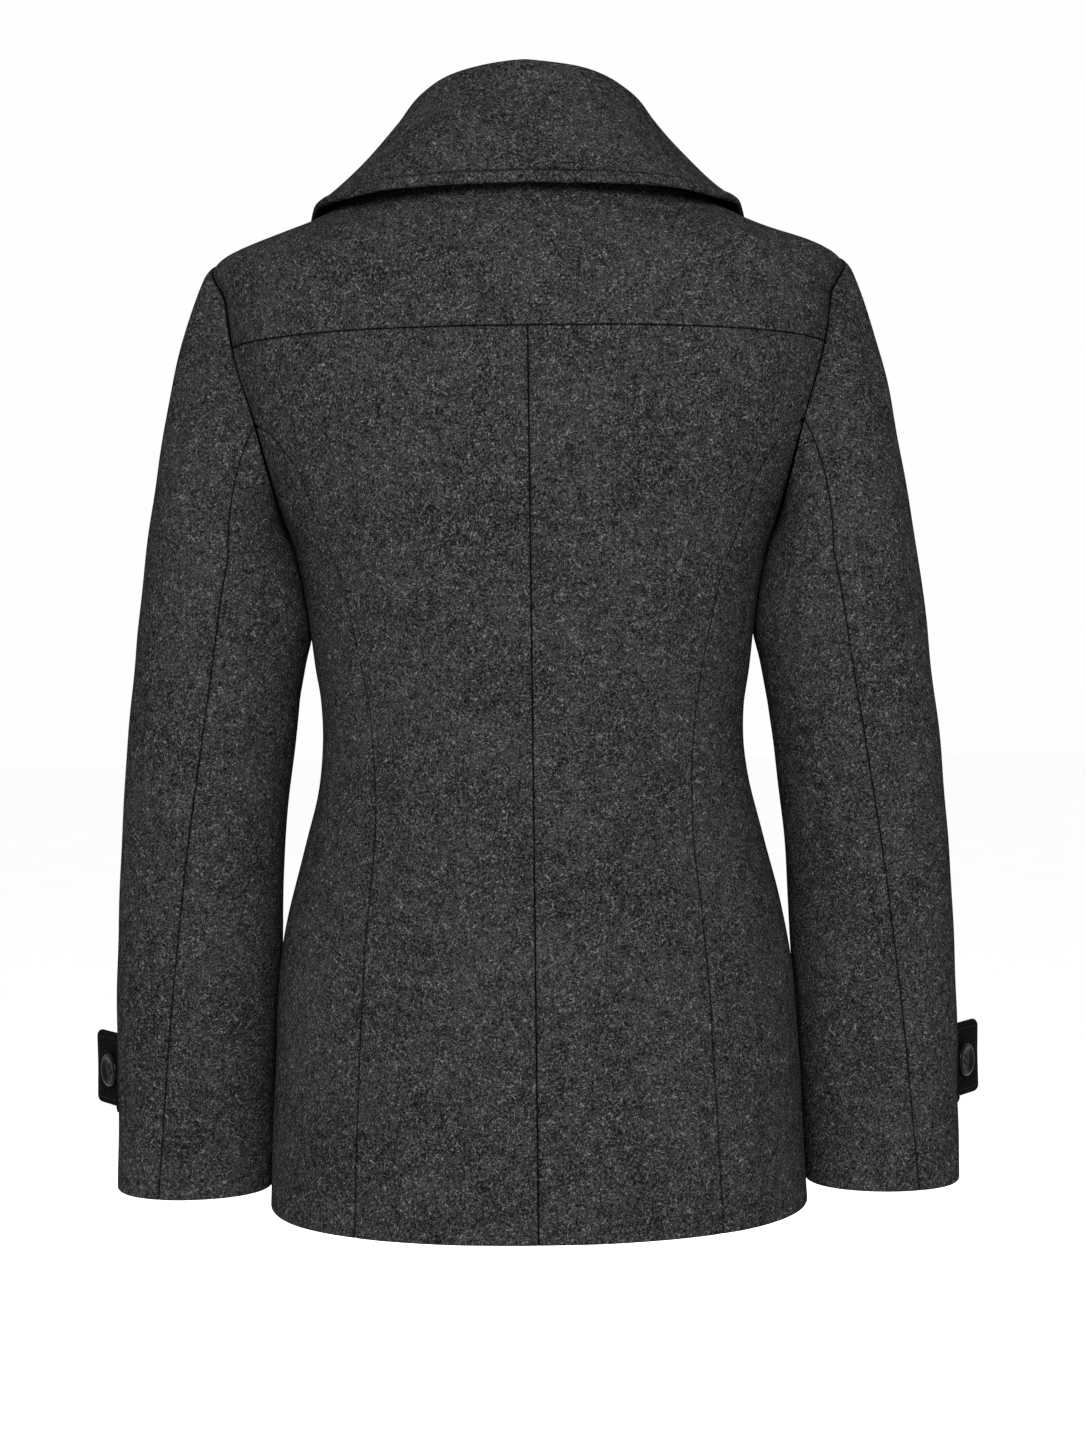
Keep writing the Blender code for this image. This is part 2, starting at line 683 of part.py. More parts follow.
def collar_profile(station):
    """Points of the collar's face across one station, and the way from the neck outwards."""
    angle = NECK_END * station * 0.992
    base = torso_point(angle, 0.0)
    out = Vector((math.sin(angle), math.cos(angle), 0.0))
    up = Vector((0, 0, 1))
    stand = STAND_AT.at(station)
    radius = FOLD_AT.at(station)["radius"]
    foot = base - out * LEAF_WALL + up * SEAM_GAP * 2
    centre = foot + out * (radius + stand["lean"] - LEAF_WALL * 0.4) + up * (stand["height"] - radius)
    merge = smooth((station - COLLAR_MERGE) / (1 - COLLAR_MERGE))
    if merge > 0:
        start = torso_point(NECK_END, 0.0)
        roll_line = [(start.x, start.z), (roll_x(ROLL_STATIONS[0]), ROLL_STATIONS[0])]
        edge, normal, away = roll_frame(False, roll_line, 0)
        foot = foot.lerp(edge + away * (LEAF_WALL + SEAM_GAP) - normal * WALL * 0.4, merge)
        centre = centre.lerp(edge + normal * LAPEL_FOLD["middle"], merge)
        out, up = out.lerp(-away, merge).normalized(), up.lerp(normal, merge).normalized()
    points = [foot]
    for share in (0.35, 0.75):
        side = centre - out * radius
        points.append(foot.lerp(side, share))
    for turn in (-90, -40, 5, 50):
        way = math.radians(turn)
        points.append(centre + out * radius * math.sin(way) + up * radius * math.cos(way))
    start = points[-1]
    edge = EDGE_AT.at(station)
    end = Vector((edge["x"], edge["y"], edge["z"]))
    pull = smooth((station - 0.72) / 0.28)
    clear = COLLAR_CLEAR + COLLAR_FRONT_CLEAR * smooth((station - 0.4) / 0.3)
    for share in FALL_SHARES[1:]:
        belly = FALL_BELLY * math.sin(math.pi * share) * (1 - 1.6 * smooth((station - 0.15) / 0.3))
        straight = start.lerp(end, share) + (out + up * 0.6).normalized() * belly
        point = draped(straight, clear)
        if pull > 0:
            point = point.lerp(collar_end_line(share), pull)
        points.append(point)
    return points, out


def collar_grids():
    half = [collar_profile(i / COLLAR_STATIONS) for i in range(COLLAR_STATIONS + 1)]
    flip = Vector((-1, 1, 1))
    other = [([p * flip for p in row], out * flip) for row, out in reversed(half[1:])]
    face = [row for row, _ in other + half]
    outs = [out for _, out in other + half]
    rows, columns = len(face), len(face[0])
    under = []
    for r in range(rows):
        line = [point + outs[r] * LEAF_WALL for point in face[r][: STAND_POINTS + 1]]
        for c in range(STAND_POINTS + 1, columns):
            along = face[min(r + 1, rows - 1)][c] - face[max(r - 1, 0)][c]
            across = face[r][min(c + 1, columns - 1)] - face[r][c - 1]
            normal = along.cross(across).normalized()
            line.append(face[r][c] - normal * LEAF_WALL)
        under.append(line)
    return face, under


def split_collar(face, under):
    """The (outer, inner) points of the stand and of the fall, a seam gap apart."""
    seam, last = STAND_POINTS, len(face) - 1
    stand = [[row[: seam + 1] for row in grid] for grid in (face, under)]
    fall = [[row[seam:] for row in grid] for grid in (face, under)]
    for r in range(len(face)):
        along = face[min(r + 1, last)][seam] - face[max(r - 1, 0)][seam]
        across = (under[r][seam] - face[r][seam]).cross(along).normalized()
        if across.dot(face[r][seam + 1] - face[r][seam]) < 0:
            across.negate()
        for grid in stand:
            grid[r][-1] = grid[r][-1] - across * (SEAM_GAP / 2)
        for grid in fall:
            grid[r][0] = grid[r][0] + across * (SEAM_GAP / 2)
    return stand, fall


# ---------------------------------------------------------------- sleeves


def sleeve_section(z, turn):
    """A point of the sleeve below the underarm. Turn 0 is outermost and 90 degrees is behind."""
    row = SLEEVE.at(z)
    middle, half = (row["inner"] + row["outer"]) / 2, (row["outer"] - row["inner"]) / 2
    power = 2 / SLEEVE_SQUARENESS
    cos, sin = math.cos(turn), math.sin(turn)
    x = middle + half * math.copysign(abs(cos) ** power, cos)
    y = row["forward"] + row["half_depth"] * math.copysign(abs(sin) ** power, sin)
    return Vector((x, y, z))


def elbow_turn(z):
    """The turn of the sleeve's back seam at a height."""
    wanted = ELBOW_SEAM.at(z)["x"]
    return solve(lambda turn: sleeve_section(z, turn).x - wanted, 0.0, math.pi)


def section_turn(step, z):
    """The turn that an armhole step has reached at a height, behind and in front."""
    if step > 180:
        step -= 360
    if step < 0:
        return math.radians(step)
    seam = elbow_turn(z)
    if step <= PRINCESS_STEP:
        return seam * step / PRINCESS_STEP
    return seam + (math.pi - seam) * (step - PRINCESS_STEP) / (180 - PRINCESS_STEP)


def sleeve_base(step, along):
    """A point of the sleeve before easing: along is 0 at the armhole and 1 at the sleeve top,
    and below that it is a height."""
    if along < 0:
        return sleeve_section(along, section_turn(step, along))
    start, _ = torso_frame(*armhole_place(step))
    end = sleeve_section(SLEEVE_TOP, section_turn(step, SLEEVE_TOP))
    just_above = SLEEVE_TOP + 0.004
    arrive = (end - sleeve_section(just_above, section_turn(step, just_above))).normalized()
    turn = math.radians(step)
    top, side, under = max(math.cos(turn), 0) ** 2, math.sin(turn) ** 2, max(-math.cos(turn), 0) ** 2
    leave = (
        Vector((0.37, 0, -0.93)) * top
        + Vector((0.48, 0.12 * math.copysign(1, step), -0.86)) * side
        + Vector((-0.05, 0, -1.0)) * under
    ).normalized()
    length = (end - start).length
    t = along
    return (
        start * ((1 + 2 * t) * (1 - t) ** 2)
        + end * (t * t * (3 - 2 * t))
        + leave * (length * t * (1 - t) ** 2)
        - arrive * (length * t * t * (1 - t))
    )


def sleeve_frame(step, along):
    """A point of the sleeve's outer face and the direction square to it."""
    point = sleeve_base(step, along)
    across = sleeve_base(step + 2, along) - sleeve_base(step - 2, along)
    if along < 0:
        way = sleeve_base(step, along - 0.002) - point
    else:
        way = sleeve_base(step, min(along + 0.01, 1.0)) - sleeve_base(step, max(along - 0.01, 0.0))
    normal = way.cross(across).normalized()
    if along < 0 or along >= 1:
        return point, normal
    cos = math.cos(math.radians(step))
    head = HEAD_RISE * smooth((cos + 0.55) / 1.2)
    reached = min(along / HEAD_ROLL / 3, 1.0)
    rise = 0.35 + 0.65 * math.sqrt(1 - (1 - reached) ** 2)
    point = point + normal * head * rise * (1 - smooth((along - 0.08) / 0.75))
    clear = UNDERARM_CLEAR * min(max(-cos * 1.4, 0.0), 1.0)
    edge, out = torso_frame(*armhole_place(step))
    if along == 0:
        round_seam = torso_point(*armhole_place(step + 1)) - torso_point(*armhole_place(step - 1))
        away = round_seam.cross(out).normalized()
        lean = normal.dot(away)
        if lean > 0:
            normal = (normal - away * lean).normalized()
        opened = (1 - normal.dot(out)) / 2
        return point + (away + out * (1 + opened)) * (SEAM_GAP / 2), normal
    return point + out * clear * min(along / 0.05, 1.0) * (1 - along), normal


def sleeve_grid(steps):
    rows = SLEEVE_UPPER + SLEEVE_ROWS
    return [[sleeve_frame(step, along) for step in steps] for along in rows]


def sleeve_grids():
    """Grids of the top and under sleeve, across from the front seam to the back seam."""
    behind = list(ARMHOLE_STEPS)
    before = sorted(-step for step in ARMHOLE_STEPS[1:-1])
    top = [s for s in before if s >= FRONT_SEAM_STEP] + [s for s in behind if s <= PRINCESS_STEP]
    under = [s for s in behind if s >= PRINCESS_STEP] + [s for s in before if s <= FRONT_SEAM_STEP]
    return sleeve_grid(top), sleeve_grid(under)


# ---------------------------------------------------------------- cuff tabs and buttons


def tab_path():
    """(place, outward direction) along the left tab, level, from its sewn end to its free end."""
    seat_steps, bend_steps = 3, 4
    row = SLEEVE.at(TAB_MIDDLE)
    middle, half = (row["inner"] + row["outer"]) / 2, (row["outer"] - row["inner"]) / 2
    lift = SEAM_GAP * 2 + LEAF_WALL
    path = []
    for i in range(seat_steps + 1):
        turn = -TAB_SEAT / half * i / seat_steps
        out = Vector((math.cos(turn), math.sin(turn), 0.0))
        spot = Vector((middle + half * math.cos(turn), row["forward"] + row["half_depth"] * math.sin(turn), 0))
        path.append((spot + out * lift, out))
    heading = math.atan2(path[-1][1].y, path[-1][1].x)
    turned = TAB_TURN - heading
    spot = path[-1][0]
    for i in range(1, bend_steps + 1):
        now = heading + turned * i / bend_steps
        before = heading + turned * (i - 0.5) / bend_steps
        spot = spot + Vector((math.sin(before), -math.cos(before), 0)) * (TAB_BEND / bend_steps)
        path.append((spot, Vector((math.cos(now), math.sin(now), 0.0))))
    ahead = Vector((math.sin(TAB_TURN), -math.cos(TAB_TURN), 0))
    out = path[-1][1]
    for share in (0.45, 1 - TAB_CORNER / TAB_STRAIGHT, 1 - 0.3 * TAB_CORNER / TAB_STRAIGHT, 1.0):
        path.append((spot + ahead * TAB_STRAIGHT * share, out))
    return path


def tab_grids():
    """Outer and inner points of the left tab, its two free corners rounded."""
    path = tab_path()
    outer, inner = [], []
    shares = (-1.0, -0.7, -0.35, 0.0, 0.35, 0.7, 1.0)
    for i, (spot, out) in enumerate(path):
        left = {len(path) - 1: TAB_CORNER, len(path) - 2: TAB_CORNER * 0.29}.get(i, 0.0)
        half = TAB_HEIGHT / 2 - left
        line = [spot + Vector((0, 0, TAB_MIDDLE + half * share)) for share in shares]
        outer.append(line)
        inner.append([point - out * LEAF_WALL for point in line])
    return outer, inner


def button_profile(size):
    """Radius and height down the button's section, from its rim's crown to its foot."""
    r, t = size["radius"], size["thickness"]
    return ((0.0, t * 0.62), (r * 0.55, t * 0.66), (r * 0.78, t * 0.98), (r * 0.92, t * 0.94),
            (r, t * 0.60), (r * 0.90, t * 0.20), (r * 0.45, 0.0), (0.0, 0.0))


def seat(cloth, size, spot, normal):
    """The place above the spot where a button's back just clears the cloth."""
    tree = BVHTree.FromObject(cloth, bpy.context.evaluated_depsgraph_get())
    side = normal.orthogonal().normalized()
    other = normal.cross(side)
    highest = -1.0
    for i in range(24):
        for share in (0.45, 0.9, 1.0):
            turn = math.tau * i / 24
            radius = size["radius"] * share
            rise = 0.0 if share < 0.9 else size["thickness"] * (0.2 if share < 1 else 0.6)
            start = spot + (side * math.cos(turn) + other * math.sin(turn)) * radius + normal * 0.02
            hit = tree.ray_cast(start, -normal, 0.04)
            if hit[0] is not None:
                highest = max(highest, (hit[0] - spot).dot(normal) - rise)
    return spot + normal * (highest + SEAM_GAP)


def button(name, size, spot, normal, material, parts):
    """A turned button whose flat back faces the cloth."""
    steps = 12
    mesh = bpy.data.meshes.new(name)
    profile = button_profile(size)
    points = [(r, 0.0, h) for r, h in profile]
    mesh.from_pydata(points, [(i, i + 1) for i in range(len(points) - 1)], [])
    mesh.materials.append(material)
    obj = bpy.data.objects.new(name, mesh)
    parts.objects.link(obj)
    screw = obj.modifiers.new("Turned", "SCREW")
    screw.axis = "Z"
    screw.steps = steps
    screw.render_steps = steps
    screw.use_merge_vertices = True
    screw.merge_threshold = 0.00001
    screw.use_smooth_shade = True
    obj.location = spot
    obj.rotation_mode = "QUATERNION"
    obj.rotation_quaternion = Vector((0, 0, 1)).rotation_difference(normal)
    return obj


# ---------------------------------------------------------------- assembly


def material(name, colour, roughness):
    made = bpy.data.materials.new(name)
    made.use_nodes = True
    shader = made.node_tree.nodes["Principled BSDF"]
    shader.inputs["Base Color"].default_value = colour
    shader.inputs["Roughness"].default_value = roughness
    shader.inputs["Metallic"].default_value = 0.0
    made.diffuse_color = colour
    return made


def both_sides(name, grid, cloth, parts, **how):
    panel(f"{name}_left", grid, cloth, parts, **how)
    panel(f"{name}_right", mirrored(grid), cloth, parts, **how)


def build_fronts(cloth, parts):
    side, under_front = split_front(front_grid(over=False))
    _, over_front = split_front(front_grid(over=True))
    both_sides("side_front", side, cloth, parts)
    panel("front_left", under_front, cloth, parts)
    panel("front_right", mirrored(over_front), cloth, parts)
    flip = Vector((-1, 1, 1))
    outer, inner = lapel_grids(over=False)
    place("lapel_left", wall_mesh("lapel_left", outer, inner), cloth, parts)
    outer, inner = ([[p * flip for p in row] for row in grid] for grid in lapel_grids(over=True))
    place("lapel_right", wall_mesh("lapel_right", outer, inner), cloth, parts)


def build_collar(cloth, parts):
    for name, grids in zip(("collar_stand", "collar"), split_collar(*collar_grids())):
        place(name, wall_mesh(name, *grids), cloth, parts)


def build_cuffs(cloth, horn, parts):
    outer, inner = tab_grids()
    end, out = tab_path()[-1]
    back = Vector((-math.sin(TAB_TURN), math.cos(TAB_TURN), 0)) * TAB_BUTTON_FROM_END
    spot = end + back + out * SEAM_GAP + Vector((0, 0, TAB_MIDDLE))
    for side, name in ((1, "left"), (-1, "right")):
        flip = Vector((side, 1, 1))
        grids = ([[p * flip for p in row] for row in grid] for grid in (outer, inner))
        place(f"cuff_tab_{name}", wall_mesh(f"cuff_tab_{name}", *grids), cloth, parts)
        button(f"cuff_button_{name}", CUFF_BUTTON, spot * flip, out * flip, horn, parts)


def build_front_buttons(cloth, horn, parts):
    number = 0
    for x in (-BUTTON_SPACING, BUTTON_SPACING):
        for z in BUTTON_HEIGHTS:
            number += 1
            point, normal = front_frame(*front_place(x, z), True)
            flip = Vector((-1, 1, 1))
            spot = seat(cloth, FRONT_BUTTON, point * flip, normal * flip)
            button(f"front_button_{number}", FRONT_BUTTON, spot, normal * flip, horn, parts)


def main():
    for obj in list(bpy.data.objects):
        bpy.data.objects.remove(obj)
    parts = bpy.data.collections.new(COAT)
    bpy.context.scene.collection.children.link(parts)
    melton = material("melton", MELTON, 0.9)
    tab_cloth = material("tab_cloth", TAB_CLOTH, 0.85)
    horn = material("horn", HORN, 0.25)

    panel("back_yoke", yoke_grid(), melton, parts)
    both_sides("back", back_grid(), melton, parts)
    both_sides("side_back", side_back_grid(), melton, parts)
    build_fronts(melton, parts)
    build_collar(melton, parts)
    top, below = sleeve_grids()
    both_sides("top_sleeve", top, melton, parts, sides=SLEEVE_SIDES)
    both_sides("under_sleeve", below, melton, parts, sides=SLEEVE_SIDES)
    build_cuffs(tab_cloth, horn, parts)
    build_front_buttons(parts.objects["front_right"], horn, parts)


main()
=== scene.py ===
import math

import bmesh
import bpy
import numpy as np
from bpy.props import (
    FloatProperty,
    FloatVectorProperty,
    IntProperty,
    PointerProperty,
)
from mathutils import Euler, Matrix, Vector
from mathutils.bvhtree import BVHTree


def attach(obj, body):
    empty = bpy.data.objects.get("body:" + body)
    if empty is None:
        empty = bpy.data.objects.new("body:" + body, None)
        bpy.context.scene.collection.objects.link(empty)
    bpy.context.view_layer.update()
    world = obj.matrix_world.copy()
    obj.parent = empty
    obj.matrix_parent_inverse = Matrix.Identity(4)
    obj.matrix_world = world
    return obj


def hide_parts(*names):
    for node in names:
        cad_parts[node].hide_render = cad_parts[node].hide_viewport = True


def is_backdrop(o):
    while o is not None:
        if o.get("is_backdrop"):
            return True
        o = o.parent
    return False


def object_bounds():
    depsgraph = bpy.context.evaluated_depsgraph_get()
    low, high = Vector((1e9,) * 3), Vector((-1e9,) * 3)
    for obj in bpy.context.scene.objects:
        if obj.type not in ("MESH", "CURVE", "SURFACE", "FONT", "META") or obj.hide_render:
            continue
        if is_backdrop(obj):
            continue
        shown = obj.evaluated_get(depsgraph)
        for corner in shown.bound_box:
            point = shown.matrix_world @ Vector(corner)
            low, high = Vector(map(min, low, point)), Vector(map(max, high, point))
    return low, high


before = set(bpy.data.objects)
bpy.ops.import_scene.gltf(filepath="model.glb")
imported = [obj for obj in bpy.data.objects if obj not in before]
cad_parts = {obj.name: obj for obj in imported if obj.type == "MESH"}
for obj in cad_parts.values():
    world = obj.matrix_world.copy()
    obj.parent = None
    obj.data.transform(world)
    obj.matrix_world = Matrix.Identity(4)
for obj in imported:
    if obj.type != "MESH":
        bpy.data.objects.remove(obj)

bl_info = {
    "name": "Pea Coat",
    "version": (1, 0, 0),
    "blender": (4, 5, 0),
    "location": "3D View > Sidebar > Coat",
    "description": "Sews a hip-length melton pea coat, worn and hollow, and lights it in a studio",
    "category": "Add Mesh",
}

# ---------------------------------------------------------------- pattern tables
# Metres, +Z up. The wearer faces -Y and the wearer's left is +X.

SHOULDER_TIP = -0.068
UNDERARM = -0.240
YOKE_SEAM = -0.132
BREAK_POINT = -0.262
HEM = -0.700

TORSO_COLUMNS = ("v", "half_width", "back", "front", "z_back", "z_front", "squareness")
TORSO_RINGS = (
    (0.000, 0.0780, 0.0640, 0.0680, 0.004, -0.078, 2.00),
    (-0.024, 0.1120, 0.0885, 0.0815, -0.027, -0.090, 1.95),
    (-0.046, 0.1495, 0.1070, 0.0955, -0.055, -0.103, 1.95),
    (SHOULDER_TIP, 0.2055, 0.1175, 0.1100, -0.080, -0.118, 2.00),
    (-0.100, 0.2050, 0.1210, 0.1220, -0.108, -0.136, 2.30),
    (-0.133, 0.2018, 0.1225, 0.1310, -0.136, -0.157, 2.50),
    (-0.162, 0.1943, 0.1225, 0.1380, -0.164, -0.179, 2.60),
    (-0.200, 0.1826, 0.1215, 0.1450, -0.201, -0.209, 2.60),
    (UNDERARM, 0.1660, 0.1190, 0.1475, -0.240, -0.240, 2.50),
    (BREAK_POINT, 0.1585, 0.1165, 0.1455, -0.262, -0.262, 2.40),
    (-0.300, 0.1510, 0.1115, 0.1390, -0.300, -0.300, 2.30),
    (-0.337, 0.1463, 0.1065, 0.1310, -0.337, -0.337, 2.20),
    (-0.377, 0.1413, 0.1020, 0.1225, -0.377, -0.377, 2.15),
    (-0.418, 0.1443, 0.1045, 0.1225, -0.418, -0.418, 2.15),
    (-0.458, 0.1538, 0.1125, 0.1275, -0.458, -0.458, 2.15),
    (-0.499, 0.1642, 0.1238, 0.1325, -0.499, -0.499, 2.20),
    (-0.541, 0.1715, 0.1322, 0.1370, -0.541, -0.541, 2.20),
    (-0.600, 0.1752, 0.1368, 0.1395, -0.600, -0.600, 2.20),
    (HEM, 0.1797, 0.1400, 0.1420, HEM, HEM, 2.20),
)

ARMHOLE_HALF_HEIGHT = (SHOULDER_TIP - UNDERARM) / 2
ARMHOLE_MIDDLE = (SHOULDER_TIP + UNDERARM) / 2
ARMHOLE_WIDTH = {"back": 15.5, "front": 17.5}  # degrees, at mid height
ARMHOLE_TAPER = {"above": 4.0, "below": 8.5}
YOKE_STEP = math.degrees(math.acos((YOKE_SEAM - ARMHOLE_MIDDLE) / ARMHOLE_HALF_HEIGHT))
PRINCESS_STEP = 110.0
FRONT_SEAM_STEP = -127.0
ARMHOLE_STEPS = (0.0, 16.0, 32.0, 47.0, 62.0, YOKE_STEP, 93.0, PRINCESS_STEP, 127.0, 145.0,
                 163.0, 180.0)
BODY_ROWS = (-0.262, -0.285, -0.310, -0.337, -0.363, -0.390, -0.418, -0.448, -0.480, -0.515,
             -0.550, -0.595, -0.645, HEM)

PRINCESS_COLUMNS = ("z", "x")
PRINCESS_SEAM = (
    (-0.183, 0.1785), (-0.193, 0.1665), (-0.208, 0.1545), (-0.222, 0.1461), (-0.243, 0.1390),
    (-0.286, 0.1227), (-0.326, 0.1135), (-0.365, 0.1062), (-0.410, 0.1022), (-0.447, 0.1016),
    (-0.499, 0.1057), (-0.550, 0.1093), (-0.608, 0.1121), (HEM, 0.1158),
)

SLEEVE_TOP = -0.270
SLEEVE_HEM = -0.691
SLEEVE_COLUMNS = ("z", "inner", "outer", "half_depth", "forward")
SLEEVE_SECTIONS = (
    (-0.250, 0.1590, 0.2562, 0.0675, 0.001),
    (SLEEVE_TOP, 0.1548, 0.2588, 0.0665, 0.001),
    (-0.290, 0.1508, 0.2615, 0.0650, 0.001),
    (-0.317, 0.1486, 0.2651, 0.0630, 0.000),
    (-0.337, 0.1532, 0.2671, 0.0615, -0.001),
    (-0.377, 0.1595, 0.2718, 0.0595, -0.002),
    (-0.418, 0.1649, 0.2755, 0.0575, -0.004),
    (-0.458, 0.1690, 0.2786, 0.0555, -0.006),
    (-0.499, 0.1713, 0.2813, 0.0540, -0.008),
    (-0.539, 0.1729, 0.2830, 0.0525, -0.009),
    (-0.580, 0.1754, 0.2840, 0.0515, -0.010),
    (-0.633, 0.1780, 0.2842, 0.0500, -0.012),
    (SLEEVE_HEM, 0.1808, 0.2850, 0.0490, -0.012),
)
BACK_SEAM_COLUMNS = ("z", "x")
SLEEVE_BACK_SEAM = (
    (SLEEVE_TOP, 0.1952), (-0.299, 0.2008), (-0.332, 0.2060), (-0.397, 0.2165),
    (-0.462, 0.2269), (-0.528, 0.2354), (-0.593, 0.2425), (-0.659, 0.2485), (SLEEVE_HEM, 0.2512),
)
SLEEVE_SQUARENESS = 2.1

NECK_END = math.radians(125.0)
ROLL_CROSSING = -0.142
ROLL_STATIONS = (-0.050, -0.078, -0.104, -0.128, -0.165, -0.198, -0.224, -0.245)
LIFT_EASE = 0.026
LIFT_AHEAD = 0.036
SOFT_LIFT_START = BREAK_POINT - 0.01
SOFT_LIFT_RUN = 0.03

GORGE_SHARE = 0.6
LAPEL_TIP = (0.142, -0.104)
LAPEL_BELLY = (0.055, -0.196)
LAPEL_END = -0.2575
LAST_LAPEL_SHARE = 0.965
LEAF_EARLY = 0.014  # how much sooner than the front its lapel rises, from a share of its width
LEAF_EARLY_SHARE = 0.2
LEAF_SPACING = 0.0034  # between the points of the lapels and the collar
LAPEL_ROUND = 0.085  # the width that sets its number of columns
FOLD_FREE = 0.01  # of the way across a lapel, that is left to its fold
LAPEL_TURNS = (0, 12, 25, 38, 52, 66, 80, 94, 108, 122, 135, 150, 163, 172)  # degrees, round it
RIM_TURN, LAST_TURN = 135, 172  # where the fold goes over to the rim of the front, and ends
RIM_REACH = 0.35  # of the fold's radius, at its end
UNDER_LAPEL_END = -0.128
UNDER_LAPEL_FOOT = 0.0405

STAND_COLUMNS = ("station", "height", "lean")
STAND = (
    (0.00, 0.0450, -0.0002),
    (0.30, 0.0440, -0.0045),
    (0.50, 0.0425, -0.0090),
    (0.70, 0.0370, -0.0085),
    (0.85, 0.0230, -0.0055),
    (1.00, 0.0085, -0.0030),
)
COLLAR_MERGE = 0.8
COLLAR_EDGE_COLUMNS = ("station", "x", "y", "z")
COLLAR_EDGE = (
    (0.00, 0.0000, 0.1120, -0.0400),
    (0.17, 0.0440, 0.1085, -0.0400),
    (0.34, 0.0880, 0.0960, -0.0392),
    (0.50, 0.1160, 0.0750, -0.0395),
    (0.63, 0.1345, 0.0420, -0.0390),
    (0.76, 0.1455, 0.0040, -0.0370),
    (0.88, 0.1540, -0.0350, -0.0430),
    (1.00, 0.1520, -0.0740, -0.0680),
)
COLLAR_POINT = (0.152, -0.068)
STAND_SHARES = (0.0, 0.35, 0.75)  # of the way up the stand
FOLD_TURNS = (-90, -65, -40, -18, 5, 28, 50)  # degrees round the fold, from the stand to the fall
FALL_SHARES = (0.21, 0.42, 0.63, 0.82, 1.0)
STAND_POINTS = 3  # of a collar station lie on the stand, up to where the collar folds over
COLLAR_REACH = 0.992  # of the neckline
# The stations from which the fold narrows to a lapel's and the fall turns to its front end, and
# those from which the fall clears the front and its belly sinks, over a run of stations.
FOLD_NARROWS, END_PULL = 0.7, 0.72
CLEAR_FROM, HOLLOW_FROM, STATION_RUN = 0.4, 0.15, 0.3
HOLLOW = 1.6  # by how much of the belly it sinks
TUCK = 0.4  # of a thickness, by which the stand lies into the neckline or the front
FALL_STITCHED_FROM = 0.035  # from the fold
COLLAR_HALF = 0.36  # the width that sets the rows of each half, and the distance between them
COLLAR_SPACING = 0.0036
COLLAR_MIDDLE = 0.012  # of the collar's half, left without rows beside the centre back
CHANNEL_WIDTH = 0.0013  # of the topstitching's channel
RIM_WIDTH = 0.003  # over which the padding beside it rises and falls
NOTCH_SHARE = 0.63

# Soft creases, each a trough (+) or ridge (-) in the cloth: middle, run, half length, half width
# and depth. They are as the cloth hangs, so the two sides differ.
CREASE_COLUMNS = ("middle", "run", "half_length", "half_width", "depth")
CREASES = (
    # below the sleeve heads, behind
    ((0.226, 0.050, -0.196), (0.62, 0.20, -0.75), 0.030, 0.009, 0.0013),
    ((0.232, 0.052, -0.232), (0.35, 0.10, -0.93), 0.034, 0.010, -0.0008),
    ((-0.214, 0.056, -0.190), (-0.75, 0.20, -0.62), 0.026, 0.009, 0.0014),
    ((-0.205, 0.060, -0.214), (-0.90, 0.10, -0.30), 0.024, 0.008, 0.0012),
    ((-0.226, 0.056, -0.236), (-0.30, 0.05, -0.95), 0.032, 0.009, -0.0010),
    # inside the elbows and along the forearms
    ((0.205, 0.058, -0.420), (0.70, 0.05, 0.30), 0.030, 0.012, 0.0007),
    ((-0.210, 0.056, -0.437), (-0.70, 0.05, 0.22), 0.028, 0.012, 0.0007),
    ((0.200, -0.058, -0.405), (0.90, -0.10, 0.28), 0.034, 0.010, 0.0014),
    ((0.208, -0.060, -0.436), (0.95, -0.10, 0.12), 0.028, 0.009, 0.0011),
    ((-0.204, -0.060, -0.398), (-0.90, -0.10, 0.30), 0.032, 0.010, 0.0013),
    ((-0.210, -0.060, -0.428), (-0.95, -0.10, 0.10), 0.026, 0.009, 0.0010),
    # the waist, at the sides and behind
    ((0.118, 0.078, -0.372), (0.75, -0.60, 0.12), 0.030, 0.009, 0.0008),
    ((-0.121, 0.075, -0.380), (-0.75, -0.60, 0.10), 0.028, 0.009, 0.0007),
    ((0.150, 0.000, -0.360), (0.10, 0.98, 0.10), 0.034, 0.009, 0.0010),
    ((-0.150, 0.000, -0.366), (-0.10, 0.98, 0.14), 0.032, 0.009, 0.0009),
    # from the underarms towards the bust
    ((0.145, -0.082, -0.236), (0.75, 0.45, 0.48), 0.034, 0.011, 0.0013),
    ((-0.146, -0.082, -0.240), (-0.75, 0.45, 0.45), 0.032, 0.011, 0.0012),
    ((0.120, -0.090, -0.392), (0.92, 0.36, 0.14), 0.030, 0.010, 0.0009),
    ((-0.122, -0.088, -0.398), (-0.92, 0.36, 0.10), 0.028, 0.010, 0.0009),
    # the collar's fall, behind
    ((0.060, 0.100, 0.004), (0.80, -0.35, -0.50), 0.040, 0.014, 0.0006),
    ((-0.072, 0.095, 0.000), (-0.80, -0.35, -0.48), 0.036, 0.014, 0.0006),
)


# ---------------------------------------------------------------- settings


def size(name, default, description, low=0.0, precision=4):
    return FloatProperty(name=name, description=description, default=default, min=low,
                         unit="LENGTH", subtype="DISTANCE", precision=precision)


def tone(name, default, description):
    return FloatVectorProperty(name=name, description=description, default=default, size=3,
                               min=0.0, max=1.0, subtype="COLOR")


